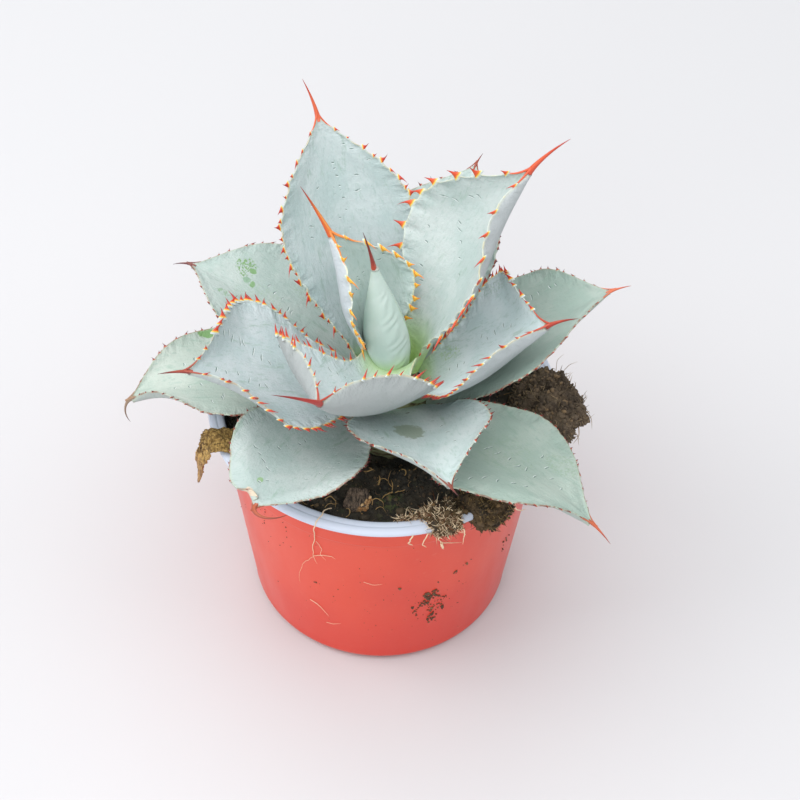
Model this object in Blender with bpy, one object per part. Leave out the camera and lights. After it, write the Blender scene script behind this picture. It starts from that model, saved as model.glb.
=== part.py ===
"""Potted agave: a thin plastic pot, its soil, and a rosette of toothed leaves on a short stem.

The shapes are worked out in millimetres and made in metres, +Z up.
The pot stands on z = 0, round the Z axis.
"""
import math

import bpy
import numpy as np

MM = 0.001
GAP = 0.35
SHARP_ANGLE = math.radians(35)

SEGMENTS = 44
RIM_RADIUS = 51.3
RIM_WIDTH = 4.5
RIM_DEPTH = 2.0
POT_HEIGHT = 78.0
NECK_RADIUS = 48.0
STEP_Z = 66.8
STEP_IN = 1.0
BASE_RADIUS = 39.6
WALL = 1.2
FLOOR = 1.5
RING_IN, RING_OUT = 30.0, 36.0
DISC_RADIUS = 16.0
CHANNEL_RISE = 2.0
CHANNEL_SLOPE = 2.0
DRAIN_COUNT = 6
DRAIN_SIDES = 16
DRAIN_RADIUS = 3.0

SOIL_Z = 74.3
SOIL_DISH = 7.0
DISH_IN, DISH_OUT = 18.0, 27.0
SOIL_LUMP = 0.4
SOIL_RINGS = 9

STEM_AXIS = np.array([3.0, 0.0, 0.0])
STEM_TOP_Z, STEM_TOP_R = 85.6, 3.5
STEM_FOOT_Z = 50.0
STEM_SIDES = 32
FIRST_LEAF_Z, FIRST_LEAF_R = 86.0, 4.5
LEVEL_DROP, LEVEL_OUT = 0.8, 0.75
FOOT_GAP = 0.7
FOOT_REACH = 6.0
FOOT_ROWS = 4

TEETH = 13
FIRST_TOOTH_ROW = 3
ACROSS = (-1.0, -0.55, 0.0, 0.55, 1.0)
BASE_THICK, MIDDLE_THICK, TIP_THICK, EDGE_THICK = 4.2, 2.8, 1.6, 1.0
TIP_HALF_WIDTH = 0.9
KEEL = 0.7
SPINE_THICK, SPINE_THICKER = 0.2, 0.045
SPINE_BEND = 0.6
SPINE_STEPS = 6
SPINE_SIDES = 6

# Leaves in the order of the spiral, from the youngest to the oldest. Angles are in degrees.
# The azimuth is measured from +X towards +Y. The rise is the midrib's slope at its base and at its tip.
# The fold is the slope that the left and the right margin curl up to, and tip_fold is the same at the tip.
# The roll turns the blade about the midrib, and the swing turns the midrib sideways on its way out.
# "wide" is where along the blade it is widest, and "base" is how wide its base is, both as a share.
# "base_fold" is the fold at the base. "lift" and "out" move the base up and away from the stem's axis.
# "plump" is the share of a full leaf's thickness. "turn" bends the end spine upwards and to the left.
# A spine's radius at its root is SPINE_THICK plus SPINE_THICKER times its length.
LEAVES = [
    dict(azimuth=140, rise=(76, 60), length=43, width=37, fold=(65, 92), tip_fold=92,
         roll=-1, swing=10, wide=0.56, base=0.14, base_fold=12,
         lift=3.9, out=1.4, plump=0.85, spine=17, turn=(-4, 5), tooth=3.0),
    dict(azimuth=29, rise=(67, 58), length=72.5, width=45, fold=(53, 45), tip_fold=87,
         roll=-1, swing=-13, wide=0.60, base=0.12, base_fold=52,
         lift=3.4, out=-1.4, plump=0.8, spine=16, turn=(-10, -18), tooth=3.0),
    dict(azimuth=-113, rise=(30, 53), length=65, width=52, fold=(49, 54), tip_fold=99,
         roll=-1, swing=7, wide=0.61, base=0.35, base_fold=63,
         lift=5.4, out=-0.2, plump=0.9, spine=17, turn=(-9, -56), tooth=3.0),
    dict(azimuth=118, rise=(47, 62), length=75, width=44, fold=(41, 49), tip_fold=46,
         roll=-4, swing=-3, wide=0.60, base=0.47, base_fold=65,
         lift=0.3, out=0.0, plump=0.55, spine=12, turn=(4, 18), tooth=2.0),
    dict(azimuth=-20, rise=(46, 51), length=54, width=48, fold=(35, 41), tip_fold=70,
         roll=8, swing=-3, wide=0.63, base=0.34, base_fold=50,
         lift=2.1, out=-0.6, plump=0.9, spine=12, turn=(-12, -13), tooth=2.4),
    dict(azimuth=-156, rise=(30, 24), length=58, width=50, fold=(30, 12), tip_fold=75,
         roll=-9, swing=-2, wide=0.56, base=0.37, base_fold=13,
         lift=5.2, out=0.1, plump=0.7, spine=9.5, turn=(-1, 13), tooth=2.2),
    dict(azimuth=67, rise=(43, 31), length=63, width=46, fold=(32, 43), tip_fold=38,
         roll=-13, swing=1, wide=0.59, base=0.33, base_fold=13,
         lift=1.0, out=-1.3, plump=0.8, spine=4.5, turn=(-14, -12), tooth=1.6),
    dict(azimuth=-80, rise=(43, 11), length=58, width=40, fold=(30, 21), tip_fold=54,
         roll=-5, swing=10, wide=0.54, base=0.35, base_fold=9,
         lift=4.8, out=0.5, plump=0.85, spine=5, turn=(5, 11), tooth=1.4),
    dict(azimuth=153, rise=(31, 9), length=58, width=45, fold=(25, 17), tip_fold=29,
         roll=7, swing=5, wide=0.59, base=0.35, base_fold=29,
         lift=3.6, out=0.3, plump=0.9, spine=6, turn=(-35, 11), tooth=1.3),
    dict(azimuth=-2, rise=(52, 24), length=64, width=48, fold=(9, 12), tip_fold=34,
         roll=-11, swing=14, wide=0.57, base=0.40, base_fold=3,
         lift=2.0, out=-2.4, plump=0.4, spine=6, turn=(-1, -21), tooth=1.3),
    dict(azimuth=-130, rise=(22, 8), length=55, width=40, fold=(23, 46), tip_fold=-12,
         roll=6, swing=16, wide=0.60, base=0.37, base_fold=64,
         lift=1.0, out=0.0, plump=1.0, spine=12, turn=(0, 150), tooth=1.0),
    dict(azimuth=102, rise=(21, 5), length=62, width=43, fold=(25, 25), tip_fold=25,
         roll=0, swing=0, wide=0.60, base=0.34, base_fold=62,
         lift=0.3, out=0.4, plump=1.0, spine=8, turn=(0, 0), tooth=1.2),
    dict(azimuth=-46, rise=(30, -18), length=62, width=44, fold=(25, -14), tip_fold=24,
         roll=-30, swing=10, wide=0.51, base=0.38, base_fold=59,
         lift=1.5, out=0.1, plump=1.0, spine=7.5, turn=(-13, -6), tooth=1.2),
    dict(azimuth=-183, rise=(24, -19), length=63, width=40, fold=(16, 23), tip_fold=75,
         roll=10, swing=16, wide=0.56, base=0.33, base_fold=60,
         lift=0.8, out=0.0, plump=1.0, spine=9, turn=(-103, 5), tooth=1.2),
    dict(azimuth=47, rise=(24, -8), length=43, width=36, fold=(25, 25), tip_fold=25,
         roll=0, swing=0, wide=0.60, base=0.40, base_fold=60,
         lift=0.7, out=0.0, plump=1.0, spine=6, turn=(0, 0), tooth=1.2),
]

BUD = dict(azimuth=167, rise=(81, 82), length=42, roll=0, swing=0, out=-4.5, lift=0.6,
           spine=13, turn=(-10, 0))
BUD_RADII = ((0.0, 3.7), (0.12, 5.0), (0.3, 6.5), (0.45, 6.6), (0.65, 5.0), (0.85, 2.6), (1.0, 1.0))
BUD_ROWS = 14
BUD_SIDES = 16
BUD_SEAM = math.radians(109)

# Pieces that lie over the rim. A path is the underside as (radius, height), from the soil outwards.
# A column is (azimuth in degrees, where it starts and where it ends as shares of the path).
PEAT_PATH = [(37.0, 75.5), (42.0, 75.8), (45.2, 77.2), (47.6, 78.7), (51.4, 78.8), (54.6, 77.8),
             (59.0, 76.2)]
PEAT_COLUMNS = [(-20, 0.3, 0.72), (-16, 0.1, 0.9), (-12, 0.0, 0.86), (-8, 0.0, 1.0), (-4, 0.0, 1.0),
                (0, 0.0, 0.93), (4, 0.05, 0.80), (8, 0.15, 0.70), (12, 0.3, 0.6)]
FIBRE_PATH = [(43.0, 75.6), (45.4, 77.2), (47.6, 78.7), (51.3, 78.75), (52.4, 77.4), (52.8, 75.0),
              (53.2, 72.0), (53.6, 69.5)]
FIBRE_COLUMNS = [(-84, 0.35, 0.62), (-79, 0.25, 0.70), (-74, 0.1, 0.82), (-69, 0.1, 0.80), (-64, 0.05, 0.70),
                 (-59, 0.0, 0.95), (-54, 0.0, 1.0), (-50, 0.0, 0.95), (-46, 0.1, 0.8)]
DEAD_PATH = [(41.5, 75.6), (45.2, 77.2), (47.6, 78.7), (51.3, 78.75), (52.5, 77.3), (53.4, 73.0),
             (54.6, 68.0), (55.8, 63.0), (56.8, 59.5)]
DEAD_AZIMUTH = -160
DEAD_SPREAD_IN, DEAD_SPREAD_OUT = 8.0, 0.8
PEAT_DEPTH, FIBRE_DEPTH, DEAD_DEPTH, THIN_EDGE = 3.6, 2.4, 1.9, 0.9

CHIP_MIDDLE = np.array([-6.8, -38.0])
CHIP_OUTLINE = [(-3.8, -1.6), (-1.2, -3.6), (2.4, -3.0), (4.0, 0.4), (2.6, 3.2), (-2.2, 3.6)]
CHIP_LIFT, CHIP_THICK, CHIP_TILT = 0.9, 1.75, 0.12


def smooth(x):
    x = np.clip(x, 0, 1)
    return x * x * (3 - 2 * x)


def material(name, colour, roughness):
    made = bpy.data.materials.new(name)
    made.use_nodes = True
    shader = made.node_tree.nodes["Principled BSDF"]
    shader.inputs["Base Color"].default_value = (*colour, 1)
    shader.inputs["Roughness"].default_value = roughness
    made.diffuse_color = (*colour, 1)
    return made


def add_object(name, shape, look=None, at=(0, 0, 0), parent=None):
    """An object with its origin at the given place. Its points are given in millimetres from the world's."""
    points, faces = shape
    points = (np.array(points, float) - at) * MM
    mesh = bpy.data.meshes.new(name)
    mesh.from_pydata(points.tolist(), [], [tuple(map(int, face)) for face in faces])
    mesh.shade_smooth()
    mesh.set_sharp_from_angle(angle=SHARP_ANGLE)
    if look is not None:
        mesh.materials.append(look)
    obj = bpy.data.objects.new(name, mesh)
    bpy.context.scene.collection.objects.link(obj)
    obj.location = np.array(at, float) * MM
    if parent is not None:
        obj.parent = parent
        obj.location -= parent.location
    return obj


def ring_band(low, high):
    """Faces between two rings of the same number of points, leaving out corners that coincide."""
    faces = []
    for k in range(len(low)):
        m = (k + 1) % len(low)
        corners = list(dict.fromkeys((low[k], low[m], high[m], high[k])))
        if len(corners) > 2:
            faces.append(corners)
    return faces


def turned(profile, segments=SEGMENTS):
    """Points, faces and last ring of a (radius, height) profile turned about Z. It runs anticlockwise."""
    points, faces, last = [], [], None
    for radius, z in profile:
        first = len(points)
        if radius == 0:
            points.append((0, 0, z))
            ring = [first] * segments
        else:
            angles = [2 * math.pi * k / segments for k in range(segments)]
            points += [(radius * math.cos(a), radius * math.sin(a), z) for a in angles]
            ring = list(range(first, first + segments))
        if last:
            faces += ring_band(last, ring)
        last = ring
    return points, faces, last


def pot_outside():
    """The underside, with a drained channel between a disc and a standing ring, then the wall and the rim."""
    under = POT_HEIGHT - RIM_DEPTH
    foot = [(0, 0), (DISC_RADIUS, 0), (DISC_RADIUS + CHANNEL_SLOPE, CHANNEL_RISE)]
    foot += [(RING_IN - CHANNEL_SLOPE, CHANNEL_RISE), (RING_IN, 0), (RING_OUT, 0)]
    wall = [(BASE_RADIUS - 1.3, 0.8), (BASE_RADIUS - 0.3, 2.4), (BASE_RADIUS, 4.0)]
    wall += [(NECK_RADIUS - STEP_IN, STEP_Z - 0.3), (NECK_RADIUS - 0.6 * STEP_IN, STEP_Z + 0.3)]
    rim = [(NECK_RADIUS, under - 0.2), (RIM_RADIUS - 0.5, under), (RIM_RADIUS, under + 0.6)]
    rim += [(RIM_RADIUS - 0.2, POT_HEIGHT - 0.7), (RIM_RADIUS - 1.0, POT_HEIGHT - 0.15)]
    rim += [(RIM_RADIUS - 2.0, POT_HEIGHT)]
    return foot + wall + rim


def pot_inside(gap=0.0):
    """From the lower wall to the middle of the floor inwards, moved off the plastic by the gap."""
    bowl = BASE_RADIUS - 1.1 * WALL - gap
    low, high = FLOOR + gap, FLOOR + CHANNEL_RISE + gap
    wall = [(NECK_RADIUS - STEP_IN - WALL - gap, STEP_Z), (bowl, 4.6), (bowl - 1.0, low + 1.0)]
    floor = [(RING_OUT - 0.4, low), (RING_IN + 0.8, low), (RING_IN - 1.4, high)]
    return wall + floor + [(DISC_RADIUS + 1.4, high), (DISC_RADIUS - 0.8, low), (0, low)]


def pot_shape():
    lip = RIM_RADIUS - RIM_WIDTH
    rolled = [(lip + 1.1, POT_HEIGHT), (lip + 0.3, POT_HEIGHT - 0.4), (lip, POT_HEIGHT - 1.7)]
    return turned(pot_outside() + rolled + pot_inside())[:2]


def drain_cutter_shape():
    """One upright cylinder through the channel for each drain hole."""
    points, faces = [], []
    at = (DISC_RADIUS + RING_IN) / 2
    for hole in range(DRAIN_COUNT):
        turn = 2 * math.pi * (hole + 0.5) / DRAIN_COUNT
        rings = []
        for z in (CHANNEL_RISE - 1.5, CHANNEL_RISE + FLOOR + 1.5):
            rings.append(list(range(len(points), len(points) + DRAIN_SIDES)))
            for k in range(DRAIN_SIDES):
                angle = 2 * math.pi * k / DRAIN_SIDES
                x = at * math.cos(turn) + DRAIN_RADIUS * math.cos(angle)
                y = at * math.sin(turn) + DRAIN_RADIUS * math.sin(angle)
                points.append((x, y, z))
        faces += ring_band(*rings) + [tuple(reversed(rings[0])), tuple(rings[1])]
    return points, faces


def make_pot():
    pot = add_object("pot", pot_shape(), material("pot_plastic", (0.72, 0.14, 0.085), 0.42))
    cutter = add_object("drain_cutter", drain_cutter_shape())
    cutter.hide_render = True
    cutter.display_type = "WIRE"
    cut = pot.modifiers.new("drain_holes", "BOOLEAN")
    cut.operation = "DIFFERENCE"
    cut.solver = "EXACT"
    cut.object = cutter


def stem_foot():
    """(height, radius) where the stem's cone ends, under the last leaf."""
    levels = len(LEAVES)
    return STEM_TOP_Z - levels * LEVEL_DROP, STEM_TOP_R + levels * LEVEL_OUT


def stem_radius(z):
    foot_z, foot_r = stem_foot()
    return np.interp(z, (foot_z, STEM_TOP_Z), (foot_r, STEM_TOP_R))


def stem_shape():
    foot_z, foot_r = stem_foot()
    profile = [(0, STEM_FOOT_Z), (foot_r - 2, STEM_FOOT_Z), (foot_r, STEM_FOOT_Z + 4), (foot_r, foot_z)]
    points, faces, _ = turned(profile + [(STEM_TOP_R, STEM_TOP_Z), (0, STEM_TOP_Z)], STEM_SIDES)
    return np.array(points) + STEM_AXIS, faces


def soil_height(x, y):
    """Height of the soil: a dish round the stem, with soft lumps."""
    away = np.hypot(x - STEM_AXIS[0], y - STEM_AXIS[1])
    lumps = math.sin(0.61 * x + 1) * math.sin(0.53 * y) + 0.6 * math.sin(1.13 * x - 0.97 * y)
    return SOIL_Z - SOIL_DISH * smooth((DISH_OUT - away) / (DISH_OUT - DISH_IN)) + SOIL_LUMP * lumps


def soil_shape():
    """The filling: the pot's inside less a gap, a lumpy top, and a plain hole that the stem stands in."""
    points, faces, ring = turned(pot_inside(GAP)[::-1])
    edge = RIM_RADIUS - RIM_WIDTH - 0.4 - GAP
    hole = stem_foot()[1] + GAP
    for share in np.linspace(0, 1, SOIL_RINGS):
        row = list(range(len(points), len(points) + SEGMENTS))
        for k in range(SEGMENTS):
            angle = 2 * math.pi * k / SEGMENTS
            way = np.array([math.cos(angle), math.sin(angle)])
            x, y = edge * way * (1 - share) + (STEM_AXIS[:2] + hole * way) * share
            points.append((x, y, soil_height(x, y)))
        faces += ring_band(ring, row)
        ring = row
    row = list(range(len(points), len(points) + SEGMENTS))
    points += [(points[k][0], points[k][1], STEM_FOOT_Z - GAP) for k in ring]
    faces += ring_band(ring, row) + [tuple(row)]
    return points, faces


def midrib(leaf, level, steps):
    """The midrib's points, with its direction, the blade's left and its upper side at each."""
    s = np.linspace(0, 1, steps + 1)
    rise = np.radians(leaf["rise"][0] + (leaf["rise"][1] - leaf["rise"][0]) * s)
    heading = np.radians(leaf["azimuth"] + leaf["swing"] * s**1.3)
    along = np.stack([np.cos(rise) * np.cos(heading), np.cos(rise) * np.sin(heading), np.sin(rise)], 1)
    moves = (along[1:] + along[:-1]) / 2 * leaf["length"] / steps
    centre = np.concatenate([np.zeros((1, 3)), np.cumsum(moves, 0)])
    first = math.radians(leaf["azimuth"])
    out = FIRST_LEAF_R + LEVEL_OUT * level + leaf["out"]
    height = FIRST_LEAF_Z - LEVEL_DROP * level + leaf["lift"]
    start = STEM_AXIS + (out * math.cos(first), out * math.sin(first), height)
    left = np.stack([-np.sin(heading), np.cos(heading), 0 * heading], 1)
    up = np.cross(along, left)
    roll = np.radians(leaf["roll"] * smooth(s / 0.7))[:, None]
    left, up = left * np.cos(roll) + up * np.sin(roll), up * np.cos(roll) - left * np.sin(roll)
    return s, centre + start, along, left, up


def half_width(leaf, s):
    wide = leaf["wide"]
    grown = leaf["base"] + (1 - leaf["base"]) * smooth(s / wide)
    out = np.clip((s - wide) / (1 - wide), 0, 1)
    taper = 1 - out**1.8 - 0.5 * out**3 * (1 - out)
    return max(leaf["width"] / 2 * (grown if s < wide else taper), TIP_HALF_WIDTH)


def margin_slope(leaf, s, side):
    """Slope of the margin on one side, in radians: it clasps the stem at the base, then opens out."""
    middle = leaf["fold"][0] if side > 0 else leaf["fold"][1]
    slope = leaf["base_fold"] + (middle - leaf["base_fold"]) * smooth(s / 0.35)
    return math.radians(slope + (leaf["tip_fold"] - slope) * smooth((s - 0.6) / 0.4))


def section(leaf, s, t):
    """Sideways and upwards position of the upper face at t from -1 to 1 across, and its slope there."""
    slope = margin_slope(leaf, s, t)
    shares = (np.arange(24) + 0.5) / 24
    angles = slope * (abs(t) * shares) ** KEEL
    width = half_width(leaf, s) * abs(t)
    side = np.sign(t)
    return side * width * np.cos(angles).mean(), width * np.sin(angles).mean(), side * slope * abs(t) ** KEEL


def thickness(leaf, s, t):
    middle = np.interp(s, (0, 0.5, 1), (BASE_THICK, MIDDLE_THICK, TIP_THICK))
    return EDGE_THICK + (middle - EDGE_THICK) * leaf["plump"] * (1 - abs(t) ** 1.6)


def foot_shift(point, along):
    """How far the point moves along the leaf so that it stands off the stem."""
    for step in np.arange(FOOT_REACH, 0, -0.1):
        x, y, z = point + along * step
        away = math.hypot(x - STEM_AXIS[0], y - STEM_AXIS[1])
        if away < stem_radius(z) + FOOT_GAP and z < STEM_TOP_Z + GAP:
            return step + 0.1
    return 0


def blade_rings(leaf, level):
    """Points of the blade's cross-sections from the stem to the tip, and what tells each one's place."""
    s, centre, along, left, up = midrib(leaf, level, 2 * TEETH + 1)
    rings = []
    for k, share in enumerate(s):
        upper, lower = [], []
        for t in ACROSS:
            x, y, slope = section(leaf, share, t)
            point = centre[k] + left[k] * x + up[k] * y
            down = left[k] * math.sin(slope) - up[k] * math.cos(slope)
            upper.append(point)
            lower.append(point + down * thickness(leaf, share, t))
        rings.append(upper + lower[::-1])
    shifts = [foot_shift(point, along[0]) for point in rings[0]]
    for k in range(FOOT_ROWS):
        rings[k] = [p + along[k] * shift * (1 - k / FOOT_ROWS) for p, shift in zip(rings[k], shifts)]
    return s, along, left, up, rings


def blade_shape(leaf, level):
    """A blade with its teeth, closed at both ends. Both faces are split into triangles alike."""
    s, along, left, up, rings = blade_rings(leaf, level)
    ring, last = 2 * len(ACROSS), len(ACROSS) - 1
    points = [point for row in rings for point in row]
    faces = []
    for k in range(len(rings) - 1):
        a, b = k * ring, (k + 1) * ring
        for n in range(last):
            m = ring - 1 - n
            faces += [(a + n, b + n, b + n + 1), (a + n, b + n + 1, a + n + 1)]
            faces += [(a + m, b + m - 1, b + m), (a + m, a + m - 1, b + m - 1)]
        for n, side in ((last, 1), (ring - 1, -1)):
            m = (n + 1) % ring
            corners = (a + n, b + n, b + m, a + m)
            if k % 2 == 0 or k < FIRST_TOOTH_ROW:
                faces += [corners[:3], (corners[0], corners[2], corners[3])]
                continue
            slope = margin_slope(leaf, (s[k] + s[k + 1]) / 2, side)
            outward = left[k] * side * math.cos(slope) + up[k] * math.sin(slope)
            length = leaf["tooth"] * min(1, 0.45 + 2 * half_width(leaf, s[k]) / leaf["width"])
            middle = sum(points[corner] for corner in corners) / 4
            points.append(middle + length * (outward + 0.25 * along[k]))
            faces += [(corners[n], corners[(n + 1) % 4], len(points) - 1) for n in range(4)]
    end = (len(rings) - 1) * ring
    for n in range(last):
        m = ring - 1 - n
        faces += [(n, n + 1, m - 1), (n, m - 1, m)]
        faces += [(end + n, end + m - 1, end + n + 1), (end + n, end + m, end + m - 1)]
    return points, faces


def unit(vectors):
    return vectors / np.linalg.norm(vectors, axis=-1, keepdims=True)


def spine_shape(leaf, level):
    """The spine that goes on from the midrib a gap off the blade's tip: a bent rod that tapers to a point."""
    _, centre, along, left, up = (part[-1] for part in midrib(leaf, level, 2 * TEETH + 1))
    share = np.linspace(0, 1, SPINE_STEPS + 1)
    rise, side = (np.radians(angle * share**SPINE_BEND)[:, None] for angle in leaf["turn"])
    way = unit(along * np.cos(rise) * np.cos(side) + up * np.sin(rise) + left * np.sin(side))
    moves = (way[1:] + way[:-1]) / 2 * leaf["spine"] / SPINE_STEPS
    thick = SPINE_THICK + SPINE_THICKER * leaf["spine"]
    start = centre + along * GAP - up * thick / 3
    path = start + np.concatenate([np.zeros((1, 3)), np.cumsum(moves, 0)])
    bent = up * leaf["turn"][0] + left * leaf["turn"][1]
    hinge = unit(np.cross(along, bent)) if bent.any() else left
    above = unit(np.cross(way, hinge))
    across = np.cross(above, way)
    points, rings = [], []
    for n in range(SPINE_STEPS):
        radius = thick * (1 - share[n]) ** 0.9
        rings.append(list(range(len(points), len(points) + SPINE_SIDES)))
        for k in range(SPINE_SIDES):
            angle = 2 * math.pi * k / SPINE_SIDES
            points.append(path[n] + radius * (across[n] * math.cos(angle) + above[n] * math.sin(angle)))
    points.append(path[-1])
    rings.append([len(points) - 1] * SPINE_SIDES)
    faces = [tuple(reversed(rings[0]))]
    for low, high in zip(rings, rings[1:]):
        for corners in ring_band(low, high):
            faces += [(corners[0], *corners[n:n + 2]) for n in range(1, len(corners) - 1)]
    return points, faces


def bud_shape():
    """The rolled bud: its outer leaf's edge makes a small step down its right side."""
    s, centre, _, left, up = midrib(BUD, 0, BUD_ROWS)
    radii = np.interp(s, *zip(*BUD_RADII))
    points, rings, faces = [], [], []
    for k in range(BUD_ROWS + 1):
        rings.append(list(range(len(points), len(points) + BUD_SIDES)))
        for n in range(BUD_SIDES):
            angle = 2 * math.pi * n / BUD_SIDES + BUD_SEAM
            radius = radii[k] * (0.93 + 0.10 * n / BUD_SIDES)
            points.append(centre[k] + radius * (left[k] * math.cos(angle) + up[k] * math.sin(angle)))
    for low, high in zip(rings, rings[1:]):
        faces += ring_band(low, high)
    return points, faces + [tuple(reversed(rings[0])), tuple(rings[-1])]


def draped_shape(path, columns, depth, seed):
    """A lumpy piece over the rim. Each column is (azimuth at its inner end, at its outer end, start, end)."""
    noise = np.random.default_rng(seed)
    radii, heights = np.array(path, float).T
    steps = np.concatenate([[0], np.cumsum(np.hypot(np.diff(radii), np.diff(heights)))])
    steps /= steps[-1]

    def place(share):
        return np.array([np.interp(share, steps, radii), np.interp(share, steps, heights)])

    rows, points = len(path) + 2, []
    for top in (0, 1):
        for c, (inner, outer, start, end) in enumerate(columns):
            for r in range(rows):
                share = r / (rows - 1)
                at = start + (end - start) * share
                run = place(at + 0.02) - place(at - 0.02)
                run /= np.linalg.norm(run)
                border = c in (0, len(columns) - 1) or r in (0, rows - 1)
                lift = top * (THIN_EDGE if border else depth * noise.uniform(0.7, 1.25))
                radius, z = place(at) + (-run[1] * lift, run[0] * lift)
                turn = math.radians(inner + (outer - inner) * share)
                points.append((radius * math.cos(turn), radius * math.sin(turn), z))
    count, faces = len(columns) * rows, []
    for c in range(len(columns) - 1):
        for r in range(rows - 1):
            a = c * rows + r
            faces += [(a, a + rows, a + rows + 1), (a, a + rows + 1, a + 1)]
            a += count
            faces += [(a, a + rows + 1, a + rows), (a, a + 1, a + rows + 1)]
    around = list(range(rows)) + [c * rows + rows - 1 for c in range(1, len(columns))]
    around += [(len(columns) - 1) * rows + r for r in range(rows - 2, -1, -1)]
    around += [c * rows for c in range(len(columns) - 2, 0, -1)]
    for a, b in zip(around, around[1:] + around[:1]):
        faces += [(a, b, b + count), (a, b + count, a + count)]
    return points, faces


def chip_shape():
    """A flat chip of bark that lies a little tilted on the soil."""
    points, count = [], len(CHIP_OUTLINE)
    for lift in (CHIP_LIFT, CHIP_LIFT + CHIP_THICK):
        for dx, dy in CHIP_OUTLINE:
            points.append((CHIP_MIDDLE[0] + dx, CHIP_MIDDLE[1] + dy, SOIL_Z + lift + CHIP_TILT * dy))
    low, high = list(range(count)), list(range(count, 2 * count))
    return points, ring_band(low, high) + [tuple(reversed(low)), tuple(high)]


def make_leaf(name, leaf, level, shape, green, horn, plant):
    """A blade and the spine on its end. Each has its origin where it grows from."""
    centre = midrib(leaf, level, 2 * TEETH + 1)[1]
    add_object(name, shape, material(name + "_green", green, 0.6), centre[0], plant)
    tip = spine_shape(leaf, level)
    add_object(name + "_spine", tip, material(name + "_horn", horn, 0.4), centre[-1], plant)


def make_plant():
    plant = bpy.data.objects.new("plant", None)
    bpy.context.scene.collection.objects.link(plant)
    plant.location = STEM_AXIS * MM
    add_object("stem", stem_shape(), material("stem_pale", (0.55, 0.60, 0.40), 0.6), STEM_AXIS, plant)
    make_leaf("bud", BUD, 0, bud_shape(), (0.52, 0.66, 0.56), (0.25, 0.05, 0.03), plant)
    for level, leaf in enumerate(LEAVES, 1):
        age = level / len(LEAVES)
        green = (0.48 - 0.12 * age, 0.62 - 0.05 * age, 0.58 - 0.13 * age)
        horn = (0.42 - 0.25 * age, 0.10 - 0.03 * age, 0.05)
        make_leaf(f"leaf_{level:02d}", leaf, level, blade_shape(leaf, level), green, horn, plant)


def make_litter():
    """What lies on the soil and over the rim."""
    columns = [(azimuth, azimuth, start, end) for azimuth, start, end in PEAT_COLUMNS]
    shape = draped_shape(PEAT_PATH, columns, PEAT_DEPTH, 3)
    add_object("peat_clump", shape, material("peat_brown", (0.06, 0.035, 0.02), 0.95))
    columns = [(azimuth, azimuth, start, end) for azimuth, start, end in FIBRE_COLUMNS]
    shape = draped_shape(FIBRE_PATH, columns, FIBRE_DEPTH, 5)
    add_object("fibre_clump", shape, material("fibre_tan", (0.30, 0.19, 0.09), 0.9))
    spreads = [(DEAD_SPREAD_IN * t, DEAD_SPREAD_OUT * t) for t in (-1, -0.5, 0, 0.5, 1)]
    columns = [(DEAD_AZIMUTH + inner, DEAD_AZIMUTH + outer, 0, 1) for inner, outer in spreads]
    shape = draped_shape(DEAD_PATH, columns, DEAD_DEPTH, 7)
    add_object("dead_leaf", shape, material("dead_brown", (0.34, 0.20, 0.08), 0.85))
    add_object("bark_chip", chip_shape(), material("bark_brown", (0.16, 0.09, 0.05), 0.85))


def main():
    for obj in list(bpy.data.objects):
        bpy.data.objects.remove(obj, do_unlink=True)
    make_pot()
    add_object("soil", soil_shape(), material("peat_soil", (0.035, 0.022, 0.014), 0.95))
    make_plant()
    make_litter()


main()
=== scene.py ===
"""Looks of the potted agave: fine leaves with hooked teeth and horns, a two-tone pot, soil and litter."""

import math

import bpy
import numpy as np
from mathutils import Matrix, Vector, noise

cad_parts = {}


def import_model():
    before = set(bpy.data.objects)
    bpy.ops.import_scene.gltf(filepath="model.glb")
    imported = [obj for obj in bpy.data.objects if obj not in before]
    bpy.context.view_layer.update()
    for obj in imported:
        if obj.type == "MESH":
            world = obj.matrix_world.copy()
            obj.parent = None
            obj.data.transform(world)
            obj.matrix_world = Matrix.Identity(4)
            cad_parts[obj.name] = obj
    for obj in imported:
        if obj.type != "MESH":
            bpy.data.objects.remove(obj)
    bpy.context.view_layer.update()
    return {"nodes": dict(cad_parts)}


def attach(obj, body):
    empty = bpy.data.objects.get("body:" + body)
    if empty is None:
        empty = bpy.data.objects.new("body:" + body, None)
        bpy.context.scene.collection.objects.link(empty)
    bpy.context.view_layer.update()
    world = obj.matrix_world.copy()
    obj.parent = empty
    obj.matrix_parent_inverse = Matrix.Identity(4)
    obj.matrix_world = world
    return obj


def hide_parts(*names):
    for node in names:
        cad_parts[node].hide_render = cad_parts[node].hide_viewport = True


MM = 0.001

# The photograph is 800 pixels wide and high. A point on the camera's axis shows at AXIS_PIXEL.
IMAGE_PIXELS = 800
SENSOR_MM = 36.0
AXIS_PIXEL = (383.4, 395.0)
MM_PER_PIXEL = 0.2918
CAMERA_DOWN, CAMERA_ROLL = math.radians(48.0), math.radians(1.2)
CAMERA_AWAY = 0.6
CAMERA_TARGET = Vector((0, 0, 0.078))

# The soft lights: where each stands in metres, how wide it is and its power. All aim at one place.
LIGHTS_AIM = Vector((0, 0, 0.08))
LIGHTS = [
    ("above", (0.0, 0.0, 1.4), 1.2, 7.4),
    ("left", (-0.9, -0.1, 1.0), 0.9, 8.4),
    ("behind", (-0.3, 0.95, 1.0), 1.0, 4.0),
    ("right", (0.95, -0.1, 1.0), 1.0, 3.6),
    ("front", (-0.1, -0.95, 1.1), 1.2, 7.4),
    ("low", (-0.5, -1.1, 0.45), 0.9, 2.0),
]

# The light from all round, and the floor's width in millimetres.
SURROUND_COLOUR, SURROUND_STRENGTH = (0.95, 0.97, 1.0, 1.0), 0.42
FLOOR_SIZE = 6000.0

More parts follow.
